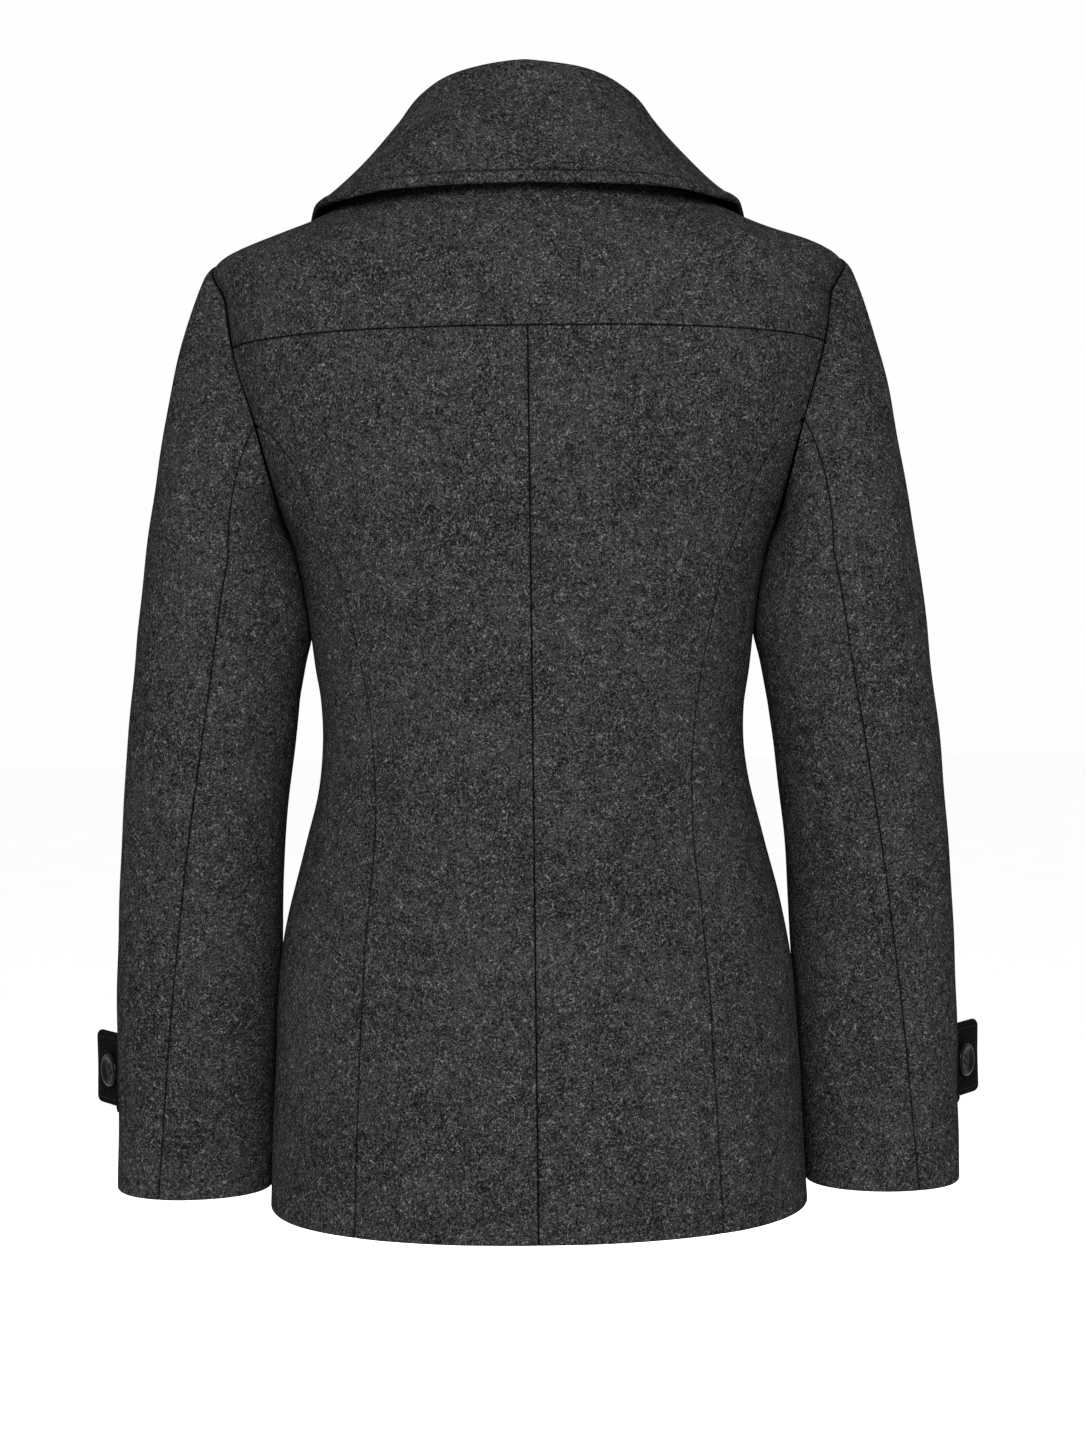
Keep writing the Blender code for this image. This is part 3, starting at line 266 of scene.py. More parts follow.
class CoatClothSettings(bpy.types.PropertyGroup):
    wall: size("Cloth", 0.003, "Thickness of one melton panel")
    leaf: size("Two layers", 0.004, "Thickness of the collar, the lapels and the tabs")
    seam_gap: size("Seam gap", 0.0001, "Between two pieces along a seam", precision=5)
    seam_layer: size("Seam layering", 0.0011, "How far one inner edge goes past its seam")
    seam_roll: size("Seam roll", 0.0013, "How far from a seam the cloth starts to turn in")
    seam_depth: size("Seam depth", 0.0010, "How deep a seam lies at its stitching")
    # painted shade: how far the colour is darkened beside a seam, standing in for the shade in its
    # groove
    seam_shade: size("Seam shade", 0.0005, "How far the packed, darker wool of a seam reaches")
    press: size("Press mark", 0.0004, "Soft hollow that pressing leaves beside a seam")
    press_width: size("Press width", 0.005, "How far from a seam that hollow reaches")
    hem_depth: size("Hem turn-up", 0.038, "Height of the turned-up hem")
    hem_wall: size("Hem thickness", 0.0052, "Thickness of the cloth at the turned-up hem")
    spacing: size("Mesh spacing", 0.0042, "Distance between the points of a piece", 0.002)
    waviness: size("Waviness", 0.00030, "Height of the cloth's slow unevenness")


class CoatFrontSettings(bpy.types.PropertyGroup):
    overlap: size("Overlap", 0.085, "From the centre front to the front edge")
    over_lift: size("Lap lift", 0.0036, "The right front above the left")
    soft_lift: size("Soft lift", 0.0011, "More above the break point")
    leaf_clear: size("Lapel clearance", 0.0028, "Between a lapel and the front")
    head_rise: size("Sleeve head", 0.0036, "How far an eased sleeve head stands up")
    underarm_clear: size("Underarm ease", 0.0004, "Room between sleeve and side")
    rest_clear: size("Sleeve rest", 0.00035, "Between the sleeve and the side that it rests on")


class CoatCollarSettings(bpy.types.PropertyGroup):
    fold: size("Fold radius", 0.0067, "Radius of the collar's soft fold")
    belly: size("Fall roundness", 0.0035, "How far the fall swells at the back")
    clear: size("Collar clearance", 0.0062, "The fall's outer face above the shoulder")
    front_clear: size("Front clearance", 0.0012, "More where the fall passes over the front")
    stitch_in: size("Topstitch distance", 0.0080, "From an edge to its row of stitches")
    stitch_length: size("Stitch length", 0.0030, "Length of one stitch")
    stitch_pitch: size("Stitch pitch", 0.0037, "From one stitch to the next")
    thread: size("Thread", 0.00055, "Thickness of the sewing thread")
    # painted shade: the wool along the topstitching is darkened in colour, standing in for the shade in
    # its channel
    stitch_shade_reach: size("Stitch mark", 0.0010, "How far the darker wool of a stitch channel reaches")
    stitch_shade: FloatProperty(name="Stitch shade", default=1.0, min=0.0, max=1.0,
                                description="How far the wool darkens along the topstitching")
    channel: size("Stitch channel", 0.0011, "How deep the stitches draw the cloth in")
    rim: size("Edge padding", 0.0008, "How far the edge swells outside its stitches")


class CoatTabSettings(bpy.types.PropertyGroup):
    middle: FloatProperty(name="Tab height", default=-0.615, unit="LENGTH",
                          description="Height of the tab's middle")
    width: size("Tab width", 0.0506, "Width of the cuff tab")
    clear: size("Tab clearance", 0.0006, "Between the tab's seat and the sleeve")
    corner: size("Tab corner", 0.0045, "Radius of the tab's corners")
    seat: size("Tab seat", 0.010, "Length sewn to the sleeve")
    seat_press: FloatProperty(name="Pressed seat", default=0.3, min=0.1, max=1.0,
                              description="Share of the cloth left where the tab is sewn down")
    bend: size("Tab bend", 0.012, "Length over which the tab turns off the sleeve")
    straight: size("Tab end", 0.032, "Straight length of the tab")
    turn: FloatProperty(name="Tab turn", default=math.radians(35.0), subtype="ANGLE",
                        unit="ROTATION", description="Direction in which the tab's end faces")
    button_in: size("Button place", 0.027, "From the tab's free end to its button")
    stitch_in: size("Tab stitching", 0.0036, "From the tab's edge to its stitches")


class CoatButtonSettings(bpy.types.PropertyGroup):
    front_radius: size("Front button radius", 0.0150, "Half the width of a front button")
    front_thickness: size("Front button thickness", 0.0050, "Thickness of a front button")
    cuff_radius: size("Cuff button radius", 0.0114, "Half the width of a cuff button")
    cuff_thickness: size("Cuff button thickness", 0.0046, "Thickness of a cuff button")
    spacing: size("Button spacing", 0.055, "From the centre front to a column of buttons")
    heights: FloatVectorProperty(name="Button heights", default=(-0.290, -0.390, -0.490),
                                 size=3, unit="LENGTH", description="The three rows")
    turns: IntProperty(name="Button sides", default=72, min=24, description="Points round it")


class CoatColourSettings(bpy.types.PropertyGroup):
    ground: tone("Ground", (0.0022, 0.0022, 0.0024), "The melton's darkest wool")
    wool: tone("Wool", (0.0158, 0.0157, 0.0169), "The melton's middle grey wool")
    fibre: tone("Fibres", (0.071, 0.071, 0.0745), "The pale fibres in the melton")
    # painted shade: the tabs are the coat's own melton, made much darker because they face sideways,
    # away from the light
    tab: tone("Tab", (0.0022, 0.0022, 0.0024), "The cuff tabs")
    horn: tone("Horn", (0.0014, 0.0012, 0.0012), "The buttons")
    thread: tone("Thread", (0.0040, 0.0040, 0.0044), "The sewing thread")
    floor: tone("Floor", (1.0, 1.0, 1.0), "The studio floor")
    backdrop: tone("Backdrop", (1.0, 1.0, 1.0), "The studio's pale surroundings")


class CoatStudioSettings(bpy.types.PropertyGroup):
    camera: FloatVectorProperty(name="Camera", default=(-0.0065, 1.52, -0.38), size=3,
                                unit="LENGTH", description="Where the camera stands")
    lens: FloatProperty(name="Lens", default=56.04, unit="CAMERA", description="Focal length")
    roll: FloatProperty(name="Roll", default=math.radians(-0.7), subtype="ANGLE",
                        unit="ROTATION", description="The camera's roll")
    floor: FloatProperty(name="Floor height", default=-1.32, unit="LENGTH",
                         description="Height of the floor")
    surround: FloatProperty(name="Surroundings", default=0.99, min=0.0,
                            description="Strength of the pale surroundings")
    key: FloatProperty(name="Key light", default=190.0, min=0.0, unit="POWER",
                       description="Power of the large soft light")
    front: FloatProperty(name="Front light", default=110.0, min=0.0, unit="POWER",
                         description="Power of the soft light before the fronts")
    fill: FloatProperty(name="Side lights", default=3.0, min=0.0, unit="POWER",
                        description="Power of each light at the side")


GROUPS = {
    "coat_cloth": CoatClothSettings,
    "coat_front": CoatFrontSettings,
    "coat_collar": CoatCollarSettings,
    "coat_tab": CoatTabSettings,
    "coat_buttons": CoatButtonSettings,
    "coat_colours": CoatColourSettings,
    "coat_studio": CoatStudioSettings,
}


def cloth():
    return bpy.context.scene.coat_cloth


def front():
    return bpy.context.scene.coat_front


def collar():
    return bpy.context.scene.coat_collar


# ---------------------------------------------------------------- reading the tables


def cubic(t, start, end, span, leave, arrive):
    """From start to end as t goes from 0 to 1, with its slopes there over a span."""
    return (
        (1 + 2 * t) * (1 - t) ** 2 * start
        + t * t * (3 - 2 * t) * end
        + t * (1 - t) ** 2 * span * leave
        - t * t * (1 - t) * span * arrive
    )


class Curve:
    """A smooth cubic through values at rising keys. The keys it is read at may be an array."""

    def __init__(self, keys, values):
        self.keys, self.values = keys, values
        self.tail = (1,) * (values.ndim - 1)
        spans = np.diff(keys).reshape(-1, *self.tail)
        rates = np.diff(values, axis=0) / spans
        inner = (rates[:-1] * spans[1:] + rates[1:] * spans[:-1]) / (spans[:-1] + spans[1:])
        self.slopes = np.concatenate([rates[:1], inner, rates[-1:]])

    def read(self, key):
        key = np.clip(key, self.keys[0], self.keys[-1])
        i = np.clip(np.searchsorted(self.keys, key, side="right") - 1, 0, len(self.keys) - 2)
        span = (self.keys[i + 1] - self.keys[i]).reshape(key.shape + self.tail)
        t = (key - self.keys[i]).reshape(key.shape + self.tail) / span
        return cubic(t, self.values[i], self.values[i + 1], span, self.slopes[i], self.slopes[i + 1])


class Table(Curve):
    """Rows with named columns, of which the first is the key."""

    def __init__(self, columns, rows):
        values = np.array(sorted(rows), dtype=float)
        super().__init__(values[:, 0], values[:, 1:])
        self.names = columns[1:]

    def at(self, key):
        row = self.read(key)
        return {name: row[..., k] for k, name in enumerate(self.names)}


TORSO = Table(TORSO_COLUMNS, TORSO_RINGS)
PRINCESS = Table(PRINCESS_COLUMNS, PRINCESS_SEAM)
SLEEVE = Table(SLEEVE_COLUMNS, SLEEVE_SECTIONS)
ELBOW_SEAM = Table(BACK_SEAM_COLUMNS, SLEEVE_BACK_SEAM)
STAND_AT = Table(STAND_COLUMNS, STAND)
EDGE_AT = Table(COLLAR_EDGE_COLUMNS, COLLAR_EDGE)


def smooth(value):
    """0 below 0, 1 above 1 and a soft rise between them."""
    t = np.clip(value, 0.0, 1.0)
    return t * t * (3 - 2 * t)


def hump(distance, width):
    """1 in the middle, falling softly to almost nothing at twice the width."""
    return np.exp(-((distance / width) ** 2))


def unit(vectors):
    length = np.linalg.norm(vectors, axis=-1, keepdims=True)
    return vectors / np.maximum(length, 1e-12)


def dot(a, b):
    return np.sum(a * b, axis=-1)


def mix(a, b, share):
    return a + (b - a) * np.asarray(share)[..., None]


def solve(function, low, high, turns=34):
    """Where the function crosses zero between low and high, point by point."""
    low, high = (np.array(side, dtype=float) for side in np.broadcast_arrays(low, high))
    sign = function(low) > 0
    for _ in range(turns):
        middle = (low + high) / 2
        same = (function(middle) > 0) == sign
        low = np.where(same, middle, low)
        high = np.where(same, high, middle)
    return (low + high) / 2


# ---------------------------------------------------------------- the torso's surface


def torso_point(angle, v):
    """A point of the coat's outer face. The angle runs from the centre back to the left side."""
    angle, v = np.broadcast_arrays(np.asarray(angle, float), np.asarray(v, float))
    ring = TORSO.at(v)
    cos, sin = np.cos(angle), np.sin(angle)
    depth = np.where(cos > 0, ring["back"], ring["front"])
    z_middle = np.where(cos > 0, ring["z_back"], ring["z_front"])
    power = ring["squareness"]
    reach = (np.abs(cos) / depth) ** power + (np.abs(sin) / ring["half_width"]) ** power
    radius = reach ** (-1 / power)
    return np.stack([radius * sin, radius * cos, v * sin * sin + z_middle * cos * cos], axis=-1)


def torso_frame(angle, v):
    """A point of the outer face and the direction square to it, out of the coat."""
    turn, drop = 0.012, 0.0012
    along = torso_point(angle + turn, v) - torso_point(angle - turn, v)
    above, below = np.minimum(v + drop, 0.0), np.maximum(v - drop, HEM)
    up = torso_point(angle, above) - torso_point(angle, below)
    return torso_point(angle, v), unit(np.cross(up, along))


def level_v(angle, z):
    """The ring that passes through a height at this angle."""
    angle, z = np.broadcast_arrays(np.asarray(angle, float), np.asarray(z, float))
    return solve(lambda v: torso_point(angle, v)[..., 2] - z, np.full(angle.shape, HEM), 0.0)


def armhole_place(step):
    """Angle and ring of a place on the left armhole, by its step from the tip: + is behind."""
    turn = np.radians(step)
    width = np.where(np.sin(turn) >= 0, ARMHOLE_WIDTH["back"], ARMHOLE_WIDTH["front"])
    taper = np.where(np.cos(turn) > 0, ARMHOLE_TAPER["above"], ARMHOLE_TAPER["below"])
    angle = math.pi / 2 - np.radians(width - taper * np.cos(turn)) * np.sin(turn)
    return angle, ARMHOLE_MIDDLE + ARMHOLE_HALF_HEIGHT * np.cos(turn)


def princess_angle(v):
    def beyond(angle):
        point = torso_point(angle, v)
        return point[..., 0] - PRINCESS.at(point[..., 2])["x"]

    return solve(beyond, np.zeros(np.shape(v)), math.pi / 2)


NECK_START = torso_point(NECK_END, 0.0)


def roll_x(z):
    """The roll line seen from the front, on the left front: sideways place at a height."""
    upper = (ROLL_CROSSING - z) / (ROLL_CROSSING - NECK_START[2])
    lower = (ROLL_CROSSING - z) / (ROLL_CROSSING - BREAK_POINT)
    rolled = NECK_START[0] * np.minimum(upper, 1.0)
    return np.where(z >= ROLL_CROSSING, rolled, -front().overlap * np.minimum(lower, 1.0))


def front_place(x, z):
    """Angle and ring of the point of the torso's front that shows at (x, z) from the front."""
    x, z = (np.array(value, dtype=float) for value in np.broadcast_arrays(x, z))
    chest_depth, turn, drop = 0.12, 1e-4, 1e-5
    most_turn, most_drop = 0.3, 0.03
    angle, v = math.pi - np.arctan2(x, chest_depth), np.minimum(z * 0.9, -0.002)
    for _ in range(16):
        here = torso_point(angle, v)
        by_angle = (torso_point(angle + turn, v) - here) / turn
        upper = np.minimum(v + drop, 0.0)
        by_v = (torso_point(angle, upper) - torso_point(angle, upper - drop)) / drop
        area = by_angle[..., 0] * by_v[..., 2] - by_angle[..., 2] * by_v[..., 0]
        off_x, off_z = x - here[..., 0], z - here[..., 2]
        turned = (off_x * by_v[..., 2] - off_z * by_v[..., 0]) / area
        dropped = (by_angle[..., 0] * off_z - by_angle[..., 2] * off_x) / area
        angle = angle + np.clip(turned, -most_turn, most_turn)
        v = np.clip(v + np.clip(dropped, -most_drop, most_drop), HEM, -1e-6)
    return angle, v


def over_lift(point, early=0.0):
    """How far the right front lies off the torso's face, over the left front and its edge."""
    under_edge = -roll_x(point[..., 2])
    soft = smooth((point[..., 2] - SOFT_LIFT_START) / SOFT_LIFT_RUN)
    lift = front().over_lift + front().soft_lift * soft
    return lift * smooth((under_edge + LIFT_AHEAD + early - point[..., 0]) / LIFT_EASE)


def front_frame(angle, v, over, early=0.0):
    """A point of a front's outer face and its direction. Over is the right front, on the left."""
    point, normal = torso_frame(angle, v)
    if over:
        point = point + normal * over_lift(point, early)[..., None]
    return point, normal


# ---------------------------------------------------------------- shaping a piece of cloth

EDGE_OFFSETS = (0.0, 0.00012, 0.0004, 0.0009, 0.0016, 0.0026, 0.0042)
STITCHED_OFFSETS = (*EDGE_OFFSETS, 0.0060, 0.0069, 0.0075, 0.0080, 0.0085, 0.0091, 0.0100)


END_SHARE = 0.2  # of a length, that the close rows or columns at each end may take up


def shares(length, spacing=None, offsets=EDGE_OFFSETS):
    """Where rows or columns lie along a length: close together at both ends, then even."""
    spacing = spacing or cloth().spacing
    ends = np.array([offset for offset in offsets if offset < length * END_SHARE])
    inside = length - 2 * ends[-1]
    count = max(int(round(inside / spacing)), 2)
    middle = ends[-1] + inside * np.arange(1, count) / count
    return np.concatenate([ends, middle, length - ends[::-1]]) / length


def run_of(points, axis=0):
    """Distances along lines of points, from their start."""
    steps = np.linalg.norm(np.diff(points, axis=axis), axis=-1)
    return np.insert(np.cumsum(steps, axis=axis), 0, 0.0, axis=axis)


def at_run(points, run, wanted):
    """The points at distances along a line."""
    return np.stack([np.interp(wanted, run, points[:, k]) for k in range(3)], axis=-1)


def spaced(values, points, spacing=None):
    """Values read at even distances along their points, close together at the ends."""
    run = run_of(points)
    wanted = shares(run[-1], spacing) * run[-1]
    return [np.interp(wanted, run, value) for value in values]


def distances(points):
    """Distance of each point of a grid from each of its four sides, along its rows or columns."""
    down, across = run_of(points, 0), run_of(points, 1)
    return {
        "first_row": down,
        "last_row": down[-1:] - down,
        "first_column": across,
        "last_column": across[:, -1:] - across,
    }


def nearest(distances_along, wanted):
    """Which of the points along a line is nearest to a distance."""
    return int(np.argmin(np.abs(distances_along - wanted)))


def edges(*kinds):
    """What each side of a grid is: its first and last row, then its first and last column."""
    return dict(zip(("first_row", "last_row", "first_column", "last_column"), kinds))


def inward(points, side):
    """Directions from a side of the grid into it, at each place along that side."""
    columns = side.endswith("column")
    lines = points.swapaxes(0, 1) if columns else points
    if side.startswith("last"):
        lines = lines[::-1]
    way = unit(lines[len(EDGE_OFFSETS) - 1] - lines[0])
    return way[:, None] if columns else way[None]


# Where a sleeve and the side of the body rest on each other, and how softly that ends.
REST_LOW, REST_HIGH, REST_DEPTH, REST_WIDTH = -0.345, -0.225, 0.052, 0.185
REST_FADE, REST_FADE_ACROSS = 0.02, 0.01


def resting(point):
    """1 where a sleeve and the side of the body rest on each other, fading to 0 around it."""
    x, y, z = np.abs(point[..., 0]), np.abs(point[..., 1]), point[..., 2]
    high = smooth((z - REST_LOW) / REST_FADE) * smooth((REST_HIGH - z) / REST_FADE)
    wide = smooth((REST_WIDTH - x) / REST_FADE_ACROSS)
    return high * smooth((REST_DEPTH - y) / REST_FADE) * wide


# The cloth's slow unevenness. Each wave has its share of the height and one or two sines, given
# by their radians per metre along x, y and z and where they start.
WAVES = (
    (1.0, (61, 17, 0, 1.3), (9, 0, 43, 0.4)),
    (0.7, (0, -31, 97, 2.1), (71, 0, 0, 2.9)),
    (0.5, (133, 0, 59, 4.2)),
)
CREASE_BEND = 4.0  # sideways, for the square of the distance from a crease's middle


def creased(point, normal):
    """The cloth's slow unevenness and its soft creases, along the normal."""
    x, y, z = point[..., 0], point[..., 1], point[..., 2]
    moved = np.zeros(x.shape)
    for share, *sines in WAVES:
        height = cloth().waviness * share
        for by_x, by_y, by_z, start in sines:
            height = height * np.sin(by_x * x + by_y * y + by_z * z + start)
        moved = moved + height
    for row in CREASES:
        crease = dict(zip(CREASE_COLUMNS, row))
        run = unit(np.array(crease["run"]))
        off = point - crease["middle"]
        along = dot(off, run)
        across = np.linalg.norm(off - along[..., None] * run, axis=-1) - CREASE_BEND * along * along
        reach = hump(along, crease["half_length"]) * hump(across, crease["half_width"])
        moved = moved - crease["depth"] * reach
    return point + normal * (moved * (1 - resting(point)))[..., None]


SEAM_COLUMNS = ("depth", "press", "roll")
SEAMS = {  # shares of the full seam depth, of its press mark and of its roll
    "seam": (2.2, 0.7, 0.9),
    "fine": (1.4, 0.5, 1.0),
    "centre": (2.4, 0.4, 0.85),
    "yoke": (1.9, 1.0, 1.0),
    "armhole": (1.5, 1.3, 1.0),
}
LAYERS = {"+": -1, "-": 1}  # the inner edge goes past the seam, or stops short of it
EDGE_REACH = 0.003  # from an edge, that moves with it for its gap and its layering
STEEPEST = 0.995  # of a seam's roll, where its side would stand upright
FREE_FACET = 0.00006  # left flat in the middle of a free edge


def beside(away):
    """1 at an edge, falling evenly to 0 at the edge's reach."""
    return np.clip(1 - away / EDGE_REACH, 0, 1)


def sewn(outer, inner, sides):
    """Turns the cloth in at its seams and rounds its free edges. Also gives how much each point
    is darkened by painted shade beside a seam, which stands in for the shade in its groove."""
    s = cloth()
    far = distances((outer + inner) / 2)
    wall = inner - outer
    thickness = np.linalg.norm(wall, axis=-1)
    into = wall / thickness[..., None]
    shift, layered = np.zeros_like(outer), np.zeros_like(outer)
    dip, shaded = np.zeros(thickness.shape), np.zeros(thickness.shape)
    pinch = np.ones(thickness.shape)
    for side, kind in sides.items():
        away = far[side]
        layer = LAYERS.get(kind[-1], 0)
        kind = kind.rstrip("+-")
        if kind in SEAMS:
            onward = inward(outer, side) * beside(away)[..., None]
            layered = layered + onward * layer * s.seam_layer
            shift = shift + onward * s.seam_gap / 2
            seam = dict(zip(SEAM_COLUMNS, SEAMS[kind]))
            t = np.clip(1 - away / (s.seam_roll * seam["roll"]), 0, STEEPEST)
            turned = s.seam_depth * seam["depth"] * (1 - np.sqrt(1 - t * t))
            marked = s.press * seam["press"] * hump(away, s.press_width)
            dip = np.maximum(dip, turned + marked)
            # painted shade: darkens the colour beside each seam, where its groove lies in shade
            shaded = np.maximum(shaded, hump(away, s.seam_shade))
        elif kind == "free":
            t = np.clip(1 - (away + FREE_FACET) / (thickness / 2), 0, 1)
            pinch = np.minimum(pinch, np.sqrt(1 - t * t))
    middle = (outer + inner) / 2 + shift
    half = wall / 2 * pinch[..., None]
    return middle - half + into * dip[..., None], middle + half + layered, shaded


def smooth_mesh(name, points, faces):
    mesh = bpy.data.meshes.new(name)
    mesh.from_pydata(points, [], faces)
    mesh.shade_smooth()
    return mesh


def cells(grid):
    """The four corners of each cell of a grid, in order round it."""
    return grid[:-1, :-1], grid[:-1, 1:], grid[1:, 1:], grid[1:, :-1]


def wall_mesh(name, outer, inner):
    """A closed wall between two grids of points, its faces pointing out."""
    rows, columns = outer.shape[:2]
    points = np.concatenate([outer.reshape(-1, 3), inner.reshape(-1, 3)])
    index = np.arange(rows * columns).reshape(rows, columns)
    face = np.stack([corner.ravel() for corner in cells(index)], axis=1)
    rim = np.concatenate([index[0], index[1:, -1], index[-1, -2::-1], index[-2:0:-1, 0]])
    onward = np.roll(rim, -1)
    back = rows * columns
    rims = np.stack([onward, rim, back + rim, back + onward], axis=1)
    faces = np.concatenate([face, back + face[:, ::-1], rims])
    a, b, c, d = cells(outer)
    facing = np.cross(b - a, d - a) + np.cross(d - c, b - c)
    if np.sum(facing * (outer - inner)[:-1, :-1]) < 0:
        faces = faces[:, ::-1]
    return smooth_mesh(name, points.tolist(), faces.tolist())


def flipped(points):
    """The points as they are on the other side of the coat."""
    return points * np.array([-1.0, 1.0, 1.0])


def put(name, mesh, node, finish, parent=None):
    """Shows a mesh as a piece of the coat, riding on its body."""
    mesh.materials.append(finish)
    obj = bpy.data.objects.new(name, mesh)
    bpy.context.scene.collection.objects.link(obj)
    if parent:
        obj.parent = parent
    else:
        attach(obj, "root")
    if node:
        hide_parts(node)
    return obj


# painted shade: the darker colour beside seams and stitch channels, kept on the mesh for its finish
PAINTED_SEAM_SHADE_MARK = "seam"  # the mesh's own record of how much a seam shades each point


def sew_piece(name, outer, inner, sides, finish="melton", away=None):
    """Sews a piece. Away is how far its points are from the edge that is topstitched."""
    outer, inner, shaded = sewn(outer, inner, sides)
    # painted shade: the colour darkens along the topstitched line, standing in for the shade in its
    # channel
    if away is not None:
        line = hump(away - collar().stitch_in, collar().stitch_shade_reach)
        shaded = np.maximum(shaded, collar().stitch_shade * line)
    mesh = wall_mesh(f"{name}_cloth", outer, inner)
    # the painted shade of the seams and the stitch channel goes on the mesh for the finish to read
    mark = mesh.attributes.new(PAINTED_SEAM_SHADE_MARK, "FLOAT", "POINT")
    mark.data.foreach_set("value", np.tile(shaded.ravel(), 2))
    obj = put(f"{name}_cloth", mesh, name, finish_of(finish))
    return obj


TURN_UP_EDGE = 0.0015  # over which the wall thickens at the top of a turned-up hem


def hemmed(outer, normal):
    """The inside of a panel that is turned up at its hem, which is its last row."""
    away = distances(outer)["last_row"]
    turn_up = smooth((cloth().hem_depth - away) / TURN_UP_EDGE)
    thickness = cloth().wall + (cloth().hem_wall - cloth().wall) * turn_up
    return outer - normal * thickness[..., None]


def body_piece(name, places, sides, flip=False, hem=True, over=False):
    """Sews a piece of the body from the angles and rings of its places on the left side."""
    point, normal = front_frame(*places, over)
    if flip:
        point, normal = flipped(point), flipped(normal)
    point = creased(point, normal)
    inner = hemmed(point, normal) if hem else point - normal * cloth().wall
    return sew_piece(name, point, inner, sides)


def both_sides(name, places, sides):
    """Sews a piece and its mirrored fellow, each with its own creases."""
    body_piece(f"{name}_left", places, sides)
    body_piece(f"{name}_right", places, sides, flip=True)


def between(near, far, across):
    """Angles and rings in rows between two lines of places."""
    return [a[:, None] + (b - a)[:, None] * across[None] for a, b in zip(near, far)]


# ---------------------------------------------------------------- the body's pieces


# The widths that set how many columns the body's pieces have.
YOKE_ROUND, BACK_ROUND, SIDE_ROUND, FRONT_ROUND = 0.42, 0.155, 0.10, 0.17
YOKE_LEVEL_FROM = 0.35  # of the way down the yoke, where its rows start to turn level
BACK_LEVEL_RUN = 0.12  # below the yoke seam, over which the back's rows leave its level
BACK_GUIDE = 0.6  # of the way from the centre to the princess seam, where rows are spaced
SIDE_BACK_START = PRINCESS_STEP + 1.5


def yoke_seam_height():
    return torso_point(*armhole_place(YOKE_STEP))[2]


def yoke_places():
    shoulder = np.linspace(0, SHOULDER_TIP, 60)
    angle, v = armhole_place(np.linspace(0, YOKE_STEP, 80)[1:])
    angle = np.concatenate([np.full(len(shoulder), math.pi / 2), angle])
    v = np.concatenate([shoulder, v])
    points = torso_point(angle, v)
    down = run_of(points) / run_of(points)[-1]
    angle, v, down = spaced([angle, v, down], points)
    angles = angle[:, None] * (2 * shares(YOKE_ROUND) - 1)[None]
    level = level_v(angles, yoke_seam_height()) - v[-1]
    return angles, v[:, None] + smooth((down - YOKE_LEVEL_FROM) / (1 - YOKE_LEVEL_FROM))[:, None] * level


def down_to_hem(steps, edge):
    """Places down the armhole's steps, then down to the hem along an edge's angles."""
    angle, v = armhole_place(steps)
    lower = np.linspace(v[-1], HEM, 400)[1:]
    return np.concatenate([angle, edge(lower)]), np.concatenate([v, lower])


def back_places():
    angle, v = down_to_hem(np.linspace(YOKE_STEP, PRINCESS_STEP, 30), princess_angle)
    angle, v = spaced([angle, v], torso_point(angle * BACK_GUIDE, v))
    angles = angle[:, None] * shares(BACK_ROUND)[None]
    near_seam = (1 - smooth((v[0] - v) / BACK_LEVEL_RUN))[:, None]
    return angles, v[:, None] + near_seam * (level_v(angles, yoke_seam_height()) - v[0])


def side_back_places():
    angle, v = down_to_hem(np.linspace(SIDE_BACK_START, 180, 60),
                           lambda lower: np.full(len(lower), math.pi / 2))
    angle, v = spaced([angle, v], torso_point(angle, v))
    return between((princess_angle(v), v), (angle, v), shares(SIDE_ROUND))


FRONT_SEAM_SHARE = 0.3  # of the way in from the armhole, above the lap
FRONT_SEAM_TURN = 0.02  # below the roll lines' crossing, where the seam starts to turn aside
FRONT_SEAM_RUN = 0.08
NECK_ROWS = 3  # of the front's rows end at the neck, above its roll line


def front_places():
    """Places of the side front and of the front, on either side of the front princess seam."""
    steps = np.arange(len(ARMHOLE_STEPS))
    rows = len(ARMHOLE_STEPS) + len(BODY_ROWS)
    index = np.linspace(0, rows - 1, 900)
    side_v = np.interp(index, np.arange(len(steps) - 1, rows), (UNDERARM, *BODY_ROWS))
    arm_angle, arm_v = armhole_place(-np.interp(index, steps, ARMHOLE_STEPS))
    on_arm = index <= len(steps) - 1
    near_angle = np.where(on_arm, arm_angle, math.pi / 2)
    near_v = np.where(on_arm, arm_v, side_v)
    heights = (NECK_START[2], *ROLL_STATIONS, *BODY_ROWS)
    edge_z = np.interp(index, np.arange(NECK_ROWS, rows), heights)
    far_angle, far_v = front_place(roll_x(edge_z), edge_z)
    on_neck = index <= NECK_ROWS
    neck_angle = math.pi / 2 + (NECK_END - math.pi / 2) * index / NECK_ROWS
    far_angle, far_v = np.where(on_neck, neck_angle, far_angle), np.where(on_neck, 0.0, far_v)
    halfway = torso_point((near_angle + far_angle) / 2, (near_v + far_v) / 2)
    near_angle, near_v, far_angle, far_v = spaced([near_angle, near_v, far_angle, far_v], halfway)
    near, far = (near_angle, near_v), (far_angle, far_v)
    edge = torso_point(*far)

    def at_share(share):
        return tuple(a + (b - a) * share for a, b in zip(near, far))

    def beyond(share):
        return torso_point(*at_share(share))[..., 0] - np.abs(edge[..., 0]) - LIFT_AHEAD

    low = solve(beyond, np.zeros(len(near_v)), 1.0)
    turned = smooth((ROLL_CROSSING - FRONT_SEAM_TURN - edge[..., 2]) / FRONT_SEAM_RUN)
    seam = at_share(FRONT_SEAM_SHARE + (low - FRONT_SEAM_SHARE) * turned)
    return between(near, seam, shares(SIDE_ROUND)), between(seam, far, shares(FRONT_ROUND))


# ---------------------------------------------------------------- lapels


def bezier(first, middle, last, t):
    return [a * (1 - t) ** 2 + 2 * b * t * (1 - t) + c * t * t
            for a, b, c in zip(first, middle, last)]


